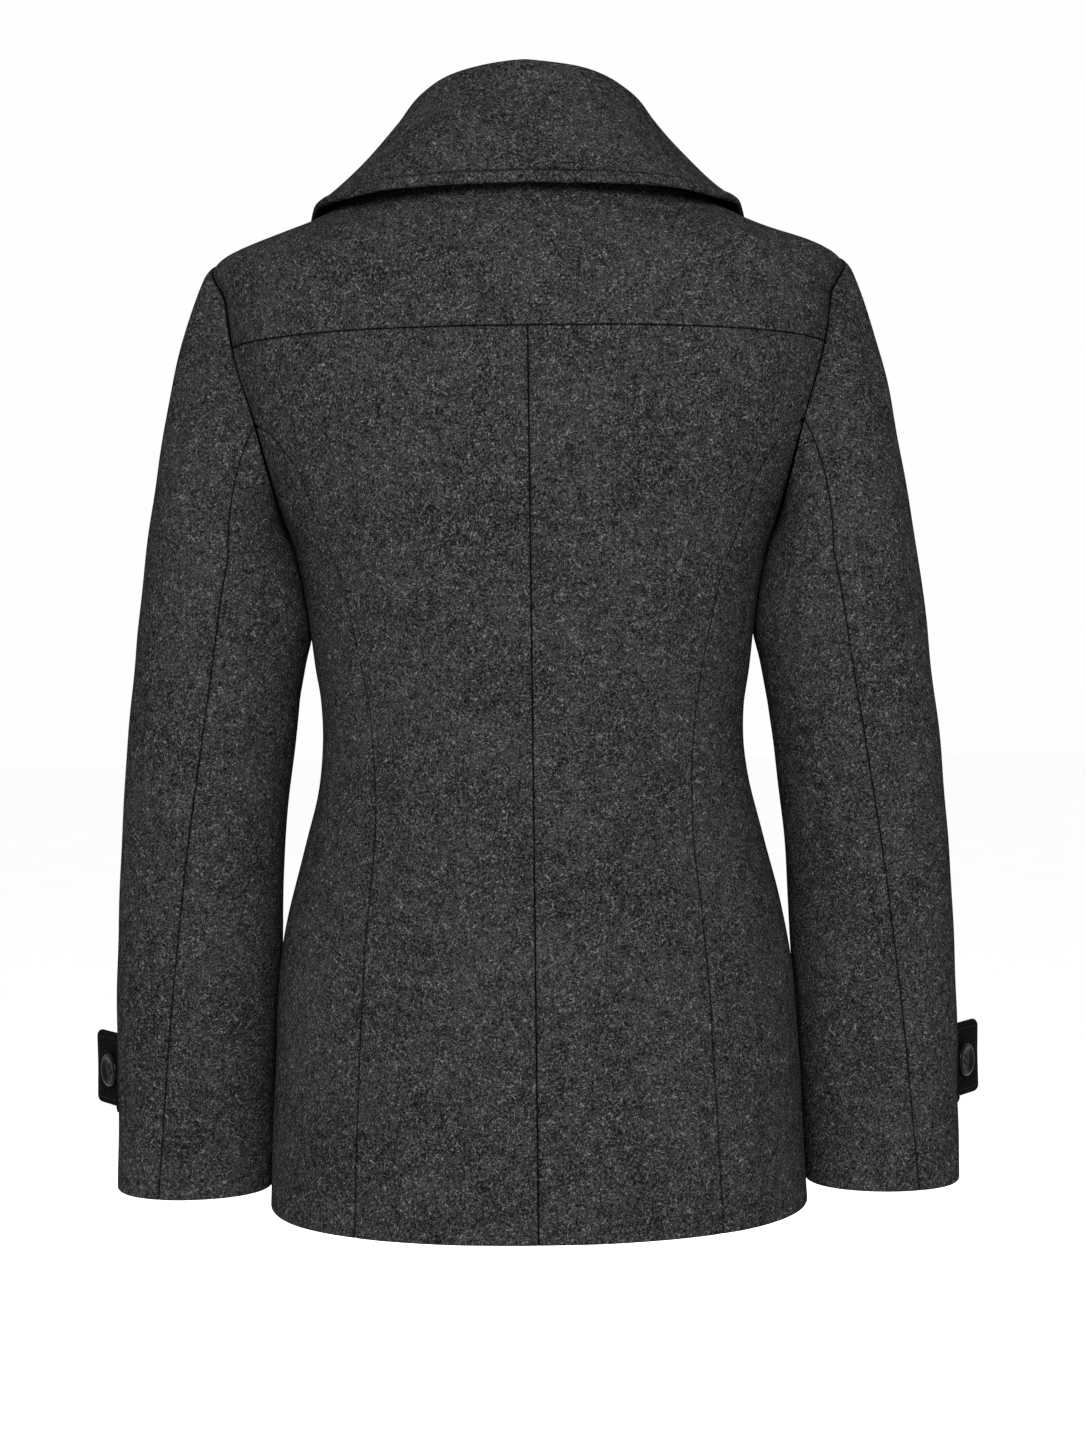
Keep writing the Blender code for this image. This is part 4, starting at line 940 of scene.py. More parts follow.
def lapel_lines(over):
    """Matching lines down the lapel, seen from the front: its roll line and its outer edge."""
    heights = [NECK_START[2], *ROLL_STATIONS]
    break_place = (-front().overlap, BREAK_POINT)
    if over:
        heights.append(LAPEL_END)
        last = LAST_LAPEL_SHARE
    else:
        heights = [z for z in heights if z > UNDER_LAPEL_END - 0.001]
        last = solve(lambda t: bezier(LAPEL_TIP, LAPEL_BELLY, break_place, t)[0]
                     - UNDER_LAPEL_FOOT, 0.0, 1.0)
    rows = len(heights) - 1
    at = Table(("row", "z"), list(enumerate(heights)))
    row = np.linspace(0, rows, 300)
    roll_z = at.at(row)["z"]
    edge_x, edge_z = bezier(LAPEL_TIP, LAPEL_BELLY, break_place, last * row / rows)
    points = np.stack([(roll_x(roll_z) + edge_x) / 2, 0 * row, (roll_z + edge_z) / 2], axis=-1)
    roll_z, edge_x, edge_z = spaced([roll_z, edge_x, edge_z], points, LEAF_SPACING)
    return (roll_x(roll_z), roll_z), (edge_x, edge_z)


def roll_frame(over, line):
    """Along the roll line: points, directions square to the front and past its edge."""
    point, normal = front_frame(*front_place(*line), over)
    onward = np.gradient(point, axis=0)
    away = unit(np.cross(normal, onward))
    away = np.where(away[..., :1] > 0, -away, away)
    return point, normal, away


def lapel_fold():
    """Height of the fold's middle over the front, and its outer radius."""
    clear, leaf, wall = front().leaf_clear, cloth().leaf, cloth().wall
    return (clear + leaf - wall) / 2, (clear + leaf + wall) / 2


def lapel_walls(over):
    """Outer and inner points of a lapel: the leaf on the front, then the fold round its edge."""
    (roll_x_at, roll_z), (edge_x, edge_z) = lapel_lines(over)
    clear, leaf, wall, gap = front().leaf_clear, cloth().leaf, cloth().wall, cloth().seam_gap
    across = shares(LAPEL_ROUND, LEAF_SPACING, STITCHED_OFFSETS)
    across = across[across > FOLD_FREE][::-1]
    x = roll_x_at[:, None] + (edge_x - roll_x_at)[:, None] * across[None]
    z = roll_z[:, None] + (edge_z - roll_z)[:, None] * across[None]
    early = LEAF_EARLY * np.minimum(across / LEAF_EARLY_SHARE, 1.0)[None]
    point, normal = front_frame(*front_place(x, z), over, early)
    edge, square, away = (value[:, None] for value in roll_frame(over, (roll_x_at, roll_z)))
    middle, radius = lapel_fold()
    turns = np.array(LAPEL_TURNS, dtype=float)
    inside = Table(("turn", "across", "height"), (
        (0, 0.0, clear), (50, gap, clear), (90, gap * 1.2, middle),
        (RIM_TURN, gap * 1.2, -wall * 0.6), (LAST_TURN, gap, -wall),
    )).at(turns)
    rim = np.clip((turns - RIM_TURN) / (LAST_TURN - RIM_TURN), 0, 1)
    turn = np.radians(turns)
    outside = {
        "across": radius * np.sin(turn) * (1 - rim) + radius * RIM_REACH * rim,
        "height": (middle + radius * np.cos(turn)) * (1 - rim) - wall * rim,
    }
    walls = []
    for leaf_face, fold in ((point + normal * (clear + leaf), outside),
                            (point + normal * clear, inside)):
        round_edge = edge + away * fold["across"][:, None] + square * fold["height"][:, None]
        walls.append(np.concatenate([leaf_face, round_edge], axis=1))
    near = beside(distances(walls[1])["first_row"])[..., None] * gap * 1.5
    return [wall + inward(wall, "first_row") * near for wall in walls]


# ---------------------------------------------------------------- collar


def kept_above(height, softness):
    """The height where it is well above 0, and a little above 0 where it isn't."""
    above = height / softness
    return softness * (np.log1p(np.exp(-np.abs(above))) + np.maximum(above, 0.0))


def shoulder_height(x, y):
    """Height of the torso's outer face under a point near the shoulder."""
    angle, radius = np.arctan2(x, y), np.hypot(x, y)

    def beyond(v):
        point = torso_point(angle, v)
        return np.hypot(point[..., 0], point[..., 1]) - radius

    low = np.where(beyond(np.full(angle.shape, UNDERARM)) > 0, UNDERARM, SHOULDER_TIP)
    return torso_point(angle, solve(beyond, low, 0.0))[..., 2]


def draped(point, clear):
    """The point, kept softly above the torso by a vertical clearance."""
    floor = shoulder_height(point[..., 0], point[..., 1]) + clear
    height = kept_above(point[..., 2] - floor, 0.004)
    return np.stack([point[..., 0], point[..., 1], floor + height], axis=-1)


def collar_end_line(share):
    """The collar's front end as it lies on the front: along the gorge, then to its point."""
    gorge = (float(NECK_START[0]), float(NECK_START[2]))
    notch = [a + (b - a) * GORGE_SHARE for a, b in zip(gorge, LAPEL_TIP)]
    if share <= NOTCH_SHARE:
        x, z = (a + (b - a) * share / NOTCH_SHARE for a, b in zip(gorge, notch))
    else:
        t = (share - NOTCH_SHARE) / (1 - NOTCH_SHARE)
        x, z = (a + (b - a) * t for a, b in zip(notch, COLLAR_POINT))
    point, normal = torso_frame(*front_place(x, z))
    return point + normal * (front().leaf_clear + cloth().leaf)


def collar_profiles(station):
    """Points of the collar's face across each station, and the way from the neck outwards."""
    leaf, gap = cloth().leaf, cloth().seam_gap
    middle, fold_radius = lapel_fold()
    angle = NECK_END * station * COLLAR_REACH
    base = torso_point(angle, np.zeros_like(angle))
    out = np.stack([np.sin(angle), np.cos(angle), 0 * angle], axis=-1)
    up = np.broadcast_to(np.array([0.0, 0.0, 1.0]), out.shape)
    stand = STAND_AT.at(station)
    to_lapel = smooth((station - FOLD_NARROWS) / (1 - FOLD_NARROWS))
    radius = collar().fold + (fold_radius - collar().fold) * to_lapel
    foot = base - out * leaf + up * gap * 2
    reach = radius + stand["lean"] - leaf * TUCK
    centre = foot + out * reach[:, None] + up * (stand["height"] - radius)[:, None]
    merge = smooth((station - COLLAR_MERGE) / (1 - COLLAR_MERGE))
    line = np.array([NECK_START[2], ROLL_STATIONS[0]])
    edge, normal, away = (value[0] for value in roll_frame(False, (roll_x(line), line)))
    foot = mix(foot, edge + away * (leaf + gap) - normal * cloth().wall * TUCK, merge)
    centre = mix(centre, edge + normal * middle, merge)
    out, up = unit(mix(out, -away, merge)), unit(mix(up, normal, merge))
    side = centre - out * radius[:, None]
    points = [mix(foot, side, share) for share in STAND_SHARES]
    for turn in np.radians(FOLD_TURNS):
        bulge = out * math.sin(turn) + up * math.cos(turn)
        points.append(centre + bulge * radius[:, None])
    start = points[-1]
    edge = EDGE_AT.at(station)
    end = np.stack([edge["x"], edge["y"], edge["z"]], axis=-1)
    pull = smooth((station - END_PULL) / (1 - END_PULL))
    clear = collar().clear + collar().front_clear * smooth((station - CLEAR_FROM) / STATION_RUN)
    hollow = 1 - HOLLOW * smooth((station - HOLLOW_FROM) / STATION_RUN)
    for share in FALL_SHARES:
        belly = collar().belly * math.sin(math.pi * share) * hollow
        straight = start + (end - start) * share + unit(out + up * 0.6) * belly[:, None]
        points.append(mix(draped(straight, clear), collar_end_line(share), pull))
    return np.stack(points, axis=1), out


def through(points, spacing, first, last):
    """Smooth rows through the points of each row, read from one of them to another."""
    keys = run_of(points, 1).mean(axis=0)
    reach = keys[last] - keys[first]
    wanted = keys[first] + shares(reach, spacing, STITCHED_OFFSETS) * reach
    return Curve(keys, points.swapaxes(0, 1)).read(wanted).swapaxes(0, 1)


def grid_normals(points):
    across = np.gradient(points, axis=1)
    down = np.gradient(points, axis=0)
    return unit(np.cross(across, down))


def channel(away, distance):
    """Height of a padded edge whose stitches draw the cloth in at a distance from it."""
    drawn = -collar().channel * hump(away - distance, CHANNEL_WIDTH)
    swell = smooth(away / RIM_WIDTH) * (1 - smooth((away - distance) / RIM_WIDTH))
    return drawn + collar().rim * swell


def fall_edge(face):
    """How far the fall's points are from its edge, and from the fold."""
    far = distances(face)
    ends = np.minimum(far["first_row"], far["last_row"])
    return np.minimum(far["last_column"], ends), far["first_column"]


def collar_walls():
    """Face, inside and directions of the stand and then of the fall."""
    half = shares(COLLAR_HALF, COLLAR_SPACING, STITCHED_OFFSETS)
    half = half[(half > COLLAR_MIDDLE) & (half < 1.0 - 1e-9)]
    station = np.concatenate([[0.0], half, [1.0]])
    whole, out = (np.concatenate([flipped(right[:0:-1]), right])
                  for right in collar_profiles(station))
    stand = through(whole, LEAF_SPACING, 0, STAND_POINTS)
    normal = np.broadcast_to(-out[:, None], stand.shape)
    walls = [(stand, stand - normal * cloth().leaf, normal)]
    face = through(whole, LEAF_SPACING, STAND_POINTS, whole.shape[1] - 1)
    normal = -grid_normals(face)
    under = face - normal * cloth().leaf
    edge_away, fold_away = fall_edge(face)
    on_fall = smooth((fold_away - FALL_STITCHED_FROM) / 0.01)
    face = face + normal * (channel(edge_away, collar().stitch_in) * on_fall)[..., None]
    return [*walls, (creased(face, normal), creased(under, normal), normal)]


# ---------------------------------------------------------------- sleeves


def sleeve_section(z, turn):
    """A point of the sleeve below the underarm. Turn 0 is outermost and 90 degrees is behind."""
    z, turn = np.broadcast_arrays(np.asarray(z, float), np.asarray(turn, float))
    row = SLEEVE.at(z)
    middle, half = (row["inner"] + row["outer"]) / 2, (row["outer"] - row["inner"]) / 2
    power = 2 / SLEEVE_SQUARENESS
    cos, sin = np.cos(turn), np.sin(turn)
    x = middle + half * np.copysign(np.abs(cos) ** power, cos)
    y = row["forward"] + row["half_depth"] * np.copysign(np.abs(sin) ** power, sin)
    return np.stack([x, y, z], axis=-1)


def elbow_turn(z):
    """The turn of the sleeve's back seam at a height."""
    wanted = ELBOW_SEAM.at(z)["x"]
    return solve(lambda turn: sleeve_section(z, turn)[..., 0] - wanted,
                 np.zeros(np.shape(z)), math.pi)


def section_turn(step, seam):
    """The turn that an armhole step has reached where the back seam is at a turn."""
    step = wrapped(step)
    outside = seam * step / PRINCESS_STEP
    inside = seam + (math.pi - seam) * (step - PRINCESS_STEP) / (180 - PRINCESS_STEP)
    return np.where(step < 0, np.radians(step), np.where(step <= PRINCESS_STEP, outside, inside))


# The ways in which the sleeve leaves the armhole: at its top, at its sides and under the arm.
LEAVE_TOP, LEAVE_SIDE, LEAVE_UNDER = (0.37, 0, -0.93), (0.48, 0.12, -0.86), (-0.05, 0, -1.0)
ARRIVAL = 0.004  # above the sleeve top, where its way there is read


def wrapped(step):
    """An armhole step as it is counted from the tip, + behind and - before."""
    return np.where(step > 180, step - 360, step)


def sleeve_base(step, along):
    """A point of the sleeve before easing. Along is 0 at the armhole and 1 at the sleeve top,
    and below that it is a height."""
    step, along = np.broadcast_arrays(np.asarray(step, float), np.asarray(along, float))
    below = along < 0
    z = np.where(below, along, SLEEVE_TOP)
    low = sleeve_section(z, section_turn(step, elbow_turn(z)))
    start, _ = torso_frame(*armhole_place(wrapped(step)))
    end, before = (
        sleeve_section(np.full(step.shape, z), section_turn(step, elbow_turn(np.float64(z))))
        for z in (SLEEVE_TOP, SLEEVE_TOP + ARRIVAL)
    )
    turn = np.radians(wrapped(step))
    cos, sin = np.cos(turn)[..., None], np.sin(turn)[..., None]
    behind = np.concatenate([cos * 0 + 1, np.copysign(1, turn)[..., None], cos * 0 + 1], axis=-1)
    leave = unit(
        np.array(LEAVE_TOP) * np.maximum(cos, 0) ** 2
        + behind * LEAVE_SIDE * sin ** 2
        + np.array(LEAVE_UNDER) * np.maximum(-cos, 0) ** 2
    )
    length = np.linalg.norm(end - start, axis=-1, keepdims=True)
    t = np.clip(along, 0, 1)[..., None]
    upper = cubic(t, start, end, length, leave, unit(end - before))
    return np.where(below[..., None], low, upper)


REST_TOP = -0.236  # below this height the sleeve is kept off the body's side
REST_TOP_RUN = 0.016
REST_SOFTNESS = 0.0004


def kept_outside(point):
    """The sleeve's points below the underarm, kept softly just clear of the body's side."""
    reach = np.hypot(point[..., 0], point[..., 1])
    body = torso_point(np.arctan2(point[..., 0], point[..., 1]), point[..., 2])
    least = np.hypot(body[..., 0], body[..., 1]) + front().rest_clear
    kept = least + kept_above(reach - least, REST_SOFTNESS)
    share = smooth((REST_TOP - point[..., 2]) / REST_TOP_RUN)
    scale = 1 + share * (kept / reach - 1)
    return point * np.stack([scale, scale, np.ones_like(scale)], axis=-1)


TOP_ROUND, UNDER_ROUND = 0.26, 0.105  # the widths that set the columns of the sleeve's pieces
UNDER_GUIDE = 120.0  # the step along which the under sleeve's rows are spaced
HEAD_RISE_FROM = 0.35  # of the eased sleeve head's height, at the armhole
HEAD_RISE_RUN = 0.048  # of the way to the sleeve top, over which the rest is reached
HEAD_FALL_FROM, HEAD_FALL_RUN = 0.08, 0.75  # of that way, where it falls to nothing
HEAD_LOW, HEAD_RANGE = -0.55, 1.2  # the tip's height is 1 and the underarm's -1: where it starts
EASE_RUN = 0.05
EASE_SPREAD = 1.4


def sleeve_walls(steps):
    """Outer points and directions of a sleeve piece between two steps."""
    first, last = steps
    cap = np.linspace(0, 1, 200)
    lower = np.linspace(SLEEVE_TOP, SLEEVE_HEM, 260)[1:]
    guide = (first + last) / 2 if first < 0 else UNDER_GUIDE
    line = sleeve_base(guide, np.concatenate([cap, lower]))
    way_down = spaced([np.linspace(0, 2, len(line))], line)[0]
    below = SLEEVE_TOP + (SLEEVE_HEM - SLEEVE_TOP) * (way_down - 1)
    along = np.where(way_down <= 1, way_down, below)[:, None]
    across = first + (last - first) * shares(TOP_ROUND if first < 0 else UNDER_ROUND)[None]
    point = sleeve_base(across, along)
    turn, share_on, drop = 2, 0.01, 0.002
    right = sleeve_base(across + turn, along) - sleeve_base(across - turn, along)
    on_cap = along >= 0
    ahead = np.where(on_cap, np.minimum(along + share_on, 1.0), along - drop)
    behind = np.where(on_cap, np.maximum(along - share_on, 0.0), along)
    normal = unit(np.cross(sleeve_base(across, ahead) - sleeve_base(across, behind), right))
    step = wrapped(across)
    cos = np.cos(np.radians(step))
    share = np.where(on_cap, np.clip(along, 0, 1), 1.0)
    head = front().head_rise * smooth((cos - HEAD_LOW) / HEAD_RANGE)
    reached = np.minimum(share / HEAD_RISE_RUN, 1.0)
    rise = HEAD_RISE_FROM + (1 - HEAD_RISE_FROM) * np.sqrt(1 - (1 - reached) ** 2)
    lifted = head * rise * (1 - smooth((share - HEAD_FALL_FROM) / HEAD_FALL_RUN)) * on_cap
    near = (beside(distances(point)["first_row"]) * on_cap)[..., None]
    _, out = torso_frame(*armhole_place(step))
    round_seam = torso_point(*armhole_place(step + 1)) - torso_point(*armhole_place(step - 1))
    away = unit(np.cross(round_seam, out))
    point = point + normal * lifted[..., None]
    lean = np.maximum(dot(normal, away), 0)[..., None]
    normal = unit(normal - away * lean * near)
    opened = ((1 - dot(normal, out)) / 2)[..., None]
    point = point + (away + out * (1 + opened)) * (cloth().seam_gap / 2) * near
    clear = front().underarm_clear * np.clip(-cos * EASE_SPREAD, 0, 1)
    eased = clear * np.minimum(share / EASE_RUN, 1.0) * (1 - share)
    return kept_outside(point + out * eased[..., None]), normal


# ---------------------------------------------------------------- stitches


STITCH_RINGS = (  # place along a stitch, width and height, as shares of its length and thread
    (-0.5, 0.35, -0.35), (-0.36, 0.9, 0.1), (0.0, 1.0, 0.45), (0.36, 0.9, 0.1), (0.5, 0.35, -0.35),
)
STITCH_SIDES = 6
STITCH_FLATNESS = 0.8


def ring_turns(sides):
    return [math.tau * k / sides for k in range(sides)]


def tube(verts, faces, rings):
    """Adds a closed tube through rings of points that turn right-handed about its way."""
    base, sides = len(verts), len(rings[0])
    for ring in rings:
        verts.extend(ring)
    last = len(verts) - sides
    for start in range(base, last, sides):
        for k in range(sides):
            a, b = start + k, start + (k + 1) % sides
            faces.append((a, b, b + sides, a + sides))
    faces.append(tuple(reversed(range(base, base + sides))))
    faces.append(tuple(range(last, last + sides)))


def stitch_row(name, points, normals, parent):
    """A row of stitches along a line on the cloth, as one piece."""
    s = collar()
    run = run_of(points)
    count = int(run[-1] / s.stitch_pitch)
    starts = (run[-1] - count * s.stitch_pitch) / 2 + np.arange(count) * s.stitch_pitch
    first, last = at_run(points, run, starts), at_run(points, run, starts + s.stitch_length)
    up = unit(at_run(normals, run, starts + s.stitch_length / 2))
    along = last - first
    side = unit(np.cross(up, along))
    verts, faces = [], []
    for i in range(count):
        rings = []
        for at, wide, high in STITCH_RINGS:
            centre = (first[i] + last[i]) / 2 + along[i] * at + up[i] * high * s.thread
            rings.append([
                tuple(centre + (side[i] * math.cos(turn) + up[i] * math.sin(turn) * STITCH_FLATNESS)
                      * wide * s.thread / 2)
                for turn in ring_turns(STITCH_SIDES)
            ])
        tube(verts, faces, rings)
    return put(name, smooth_mesh(name, verts, faces), None, finish_of("thread"), parent)


# ---------------------------------------------------------------- finishes


def feed(tree, node, values):
    """Sets a node's inputs. A value may be a number, a tuple or another node's output."""
    for key, value in values.items():
        if isinstance(value, bpy.types.NodeSocket):
            tree.links.new(value, node.inputs[key])
        else:
            node.inputs[key].default_value = value


def linked(tree, kind, values=None, **settings):
    """Adds a shader node with its settings and its inputs."""
    made = tree.nodes.new(kind)
    for key, value in settings.items():
        setattr(made, key, value)
    feed(tree, made, values or {})
    return made


def math_node(tree, operation, *values):
    return linked(tree, "ShaderNodeMath", dict(enumerate(values)), operation=operation).outputs[0]


def ranged(tree, value, low, high, to_low=0.0, to_high=1.0):
    names = {"Value": value, "From Min": low, "From Max": high, "To Min": to_low, "To Max": to_high}
    return linked(tree, "ShaderNodeMapRange", names, interpolation_type="SMOOTHSTEP").outputs[0]


def noise(tree, place, period, shift=(0, 0, 0), detail=0.0, roughness=0.5, distortion=0.0):
    """Noise with a period in metres."""
    moved = linked(tree, "ShaderNodeMapping", {"Vector": place, "Location": shift}).outputs[0]
    return linked(tree, "ShaderNodeTexNoise", {
        "Vector": moved, "Scale": 1 / period, "Detail": detail, "Roughness": roughness,
        "Distortion": distortion,
    }).outputs[0]


FIBRES_COLUMNS = ("width", "length", "lean", "turn", "shown_from", "strength", "shift")
FIBRES = (  # lean and turn in degrees
    (0.00105, 0.0046, -33, 42, 0.700, 1.00, (0.11, 0.37, 0.59)),
    (0.00100, 0.0040, 38, -50, 0.700, 1.00, (0.83, 0.21, 0.47)),
    (0.00110, 0.0050, 30, 48, 0.705, 0.90, (0.29, 0.73, 0.13)),
    (0.00095, 0.0042, -40, -38, 0.700, 0.95, (0.67, 0.91, 0.31)),
    (0.00095, 0.0040, 10, 14, 0.710, 0.85, (0.43, 0.17, 0.83)),
    (0.00095, 0.0036, 70, -25, 0.710, 0.90, (0.59, 0.53, 0.07)),
)
FIBRE_CURL = 1.1
FIBRE_FADE = 0.13  # of the noise, from where a fibre starts to show to where it shows fully


def fibres(tree, place):
    """Short curled fibres lying in several directions."""
    total = None
    for row in FIBRES:
        layer = dict(zip(FIBRES_COLUMNS, row))
        drawn = linked(tree, "ShaderNodeMapping", {
            "Vector": place, "Location": layer["shift"],
            "Rotation": (0.0, math.radians(layer["lean"]), math.radians(layer["turn"])),
            "Scale": (layer["length"], layer["width"], layer["width"]),
        }, vector_type="TEXTURE").outputs[0]
        field = linked(tree, "ShaderNodeTexNoise", {
            "Vector": drawn, "Scale": 1.0, "Detail": 0.0, "Distortion": FIBRE_CURL,
        }).outputs[0]
        shown = layer["shown_from"]
        line = ranged(tree, field, shown, shown + FIBRE_FADE)
        fibre = math_node(tree, "MULTIPLY", line, layer["strength"])
        total = fibre if total is None else math_node(tree, "MAXIMUM", total, fibre)
    return total


def new_finish(name):
    finish = bpy.data.materials.new(name)
    finish.use_nodes = True
    tree = finish.node_tree
    place = linked(tree, "ShaderNodeTexCoord").outputs["Object"]
    return finish, tree, tree.nodes["Principled BSDF"], place


def blend(tree, share, first, second):
    return linked(tree, "ShaderNodeMix", {0: share, 6: first, 7: second},
                  data_type="RGBA").outputs[2]


def rgba(colour, scale=1.0):
    return (*(c * scale for c in colour), 1.0)


def relief(tree, height, strength, depth):
    """A small surface relief, whose depth is in metres."""
    return linked(tree, "ShaderNodeBump", {
        "Height": height, "Strength": strength, "Distance": depth,
    }).outputs[0]


# Periods of the fleece, of its clumps and of the dye's slow change, and how much the last two
# move the mottling.
FLEECE, CLUMPS, DYE = 0.0013, 0.0075, 0.045
CLUMP_SHARE, DYE_SHARE = 0.30, 0.20
MOTTLE = (0.30, 0.72)  # of the noise, from the darkest wool to the middle grey
# how dark the painted shade beside seams and stitch channels makes the wool
PAINTED_SEAM_SHADE_STRENGTH = 0.85
TWIST, STREAK, POLISH = 0.00045, 0.004, 0.0016  # periods of the thread's twist and of the horn


def wool_finish(name, ground, wool, fibre):
    """Milled wool: dark ground, mottled by its fleece, with pale fibres felted into it."""
    finish, tree, shader, place = new_finish(name)
    fleece = noise(tree, place, FLEECE, (0.2, 0.4, 0.1), detail=1.0)
    clumps = noise(tree, place, CLUMPS, (0.5, 0.1, 0.7), detail=2.0)
    dye = noise(tree, place, DYE, (0.3, 0.8, 0.6), detail=1.0)
    mottled = fleece
    for field, weight in ((clumps, CLUMP_SHARE), (dye, DYE_SHARE)):
        centred = math_node(tree, "SUBTRACT", field, 0.5)
        mottled = math_node(tree, "ADD", mottled, math_node(tree, "MULTIPLY", centred, weight))
    base = blend(tree, ranged(tree, mottled, *MOTTLE), rgba(ground), rgba(wool))
    pale = fibres(tree, place)
    thin = ranged(tree, clumps, 0.3, 0.7, 0.65, 1.0)
    colour = blend(tree, math_node(tree, "MULTIPLY", pale, thin), base, rgba(fibre))
    # painted shade: the wool is darkened beside seams and along topstitching, standing in for the shade
    # in their grooves
    seam = linked(tree, "ShaderNodeAttribute", attribute_name=PAINTED_SEAM_SHADE_MARK).outputs["Fac"]
    painted_seam_shade = math_node(tree, "MULTIPLY", seam, PAINTED_SEAM_SHADE_STRENGTH)
    height = math_node(tree, "ADD", math_node(tree, "MULTIPLY", pale, 0.5),
                       math_node(tree, "MULTIPLY", fleece, 0.6))
    feed(tree, shader, {
        "Base Color": blend(tree, painted_seam_shade, colour, rgba(ground, 0.5)),
        "Roughness": 0.95,
        "Specular IOR Level": 0.0,
        "Normal": relief(tree, height, 0.55, 0.0005),
    })
    return finish


def melton_finish(name):
    tones = bpy.context.scene.coat_colours
    return wool_finish(name, tones.ground, tones.wool, tones.fibre)


# painted shade: the coat's melton darkened for the cuff tabs, which face sideways into shade
def shaded_tab_finish(name):
    tab = bpy.context.scene.coat_colours.tab
    return wool_finish(name, tab, [c * 1.4 for c in tab], [c * 4 for c in tab])


def thread_finish(name):
    """Sewing thread, twisted so that it catches light in short steps."""
    finish, tree, shader, place = new_finish(name)
    thread = bpy.context.scene.coat_colours.thread
    twist = noise(tree, place, TWIST, detail=1.0)
    feed(tree, shader, {
        "Base Color": blend(tree, twist, rgba(thread, 0.7), rgba(thread, 1.6)),
        "Roughness": 0.55,
        "Specular IOR Level": 0.05,
        "Normal": relief(tree, twist, 0.6, 0.0002),
    })
    return finish


def horn_finish(name):
    """Polished dark horn with faint paler streaks."""
    finish, tree, shader, place = new_finish(name)
    horn = bpy.context.scene.coat_colours.horn
    drawn = linked(tree, "ShaderNodeMapping", {"Vector": place, "Scale": (1.0, 1.0, 0.22)}).outputs[0]
    streak = noise(tree, drawn, STREAK, detail=4.0, roughness=0.6, distortion=0.6)
    feed(tree, shader, {
        "Base Color": blend(tree, ranged(tree, streak, 0.45, 0.75), rgba(horn), rgba(horn, 3.2)),
        "Roughness": ranged(tree, noise(tree, place, POLISH, detail=3.0), 0.3, 0.8, 0.20, 0.34),
        "Specular IOR Level": 0.04,
        "Coat Weight": 0.02,
        "Coat Roughness": 0.12,
    })
    return finish


FINISHES = {
    "melton": melton_finish,
    "tab_cloth": shaded_tab_finish,
    "thread": thread_finish,
    "horn": horn_finish,
}


def finish_of(kind):
    """The finish of a kind of piece, made when it is first asked for."""
    name = f"coat_{kind}"
    return bpy.data.materials.get(name) or FINISHES[kind](name)


# ---------------------------------------------------------------- buttons and tabs


def disc(name, profile, sides):
    """A turned piece from (radius, height) pairs."""
    shape = bmesh.new()
    rings = []
    for radius, height in profile:
        turns = ring_turns(sides) if radius > 0 else [0.0]
        rings.append([shape.verts.new((radius * math.cos(turn), radius * math.sin(turn), height))
                      for turn in turns])
    for one, two in zip(rings, rings[1:]):
        for k in range(sides):
            a, b = one[k % len(one)], one[(k + 1) % len(one)]
            c, d = two[(k + 1) % len(two)], two[k % len(two)]
            corners = list(dict.fromkeys((a, b, c, d)))
            if len(corners) > 2:
                shape.faces.new(corners)
    bmesh.ops.recalc_face_normals(shape, faces=shape.faces)
    mesh = bpy.data.meshes.new(name)
    shape.to_mesh(mesh)
    shape.free()
    mesh.shade_smooth()
    return mesh


LONGEST_CUT = 0.45  # of a profile's side, that one rounded corner may take


def bevelled(corners, radius, steps=4):
    """Rounds the corners of a profile of (radius, height) pairs."""
    out = [corners[0]]
    for before, corner, after in zip(corners, corners[1:], corners[2:]):
        a, b, c = (np.array(p) for p in (before, corner, after))
        back, onward = np.linalg.norm(b - a), np.linalg.norm(c - b)
        cut = min(radius, back * LONGEST_CUT, onward * LONGEST_CUT)
        start, end = b + (a - b) / back * cut, b + (c - b) / onward * cut
        for t in np.arange(steps + 1) / steps:
            out.append(tuple(start * (1 - t) ** 2 + 2 * b * t * (1 - t) + end * t * t))
    return out + [corners[-1]]


SUNK = 0.60  # height of the button's sunk middle, of its thickness
BUTTON_PROFILE = (  # shares of the radius and of the thickness, from the sunk middle to the back
    (0, SUNK), (0.50, SUNK), (0.62, 0.72), (0.74, 0.97), (0.86, 1), (0.965, 0.86), (1, 0.58),
    (0.96, 0.28), (0.80, 0.06), (0.45, 0), (0, 0),
)
BUTTON_SOFTNESS = 0.10  # radius of its profile's corners, of the button's
HOLE_OFFSET = 0.19  # of the button's radius, from its middle
HOLE_RADIUS = 0.095
SHARPEST = math.radians(42)  # beyond this the button's faces meet in a sharp edge


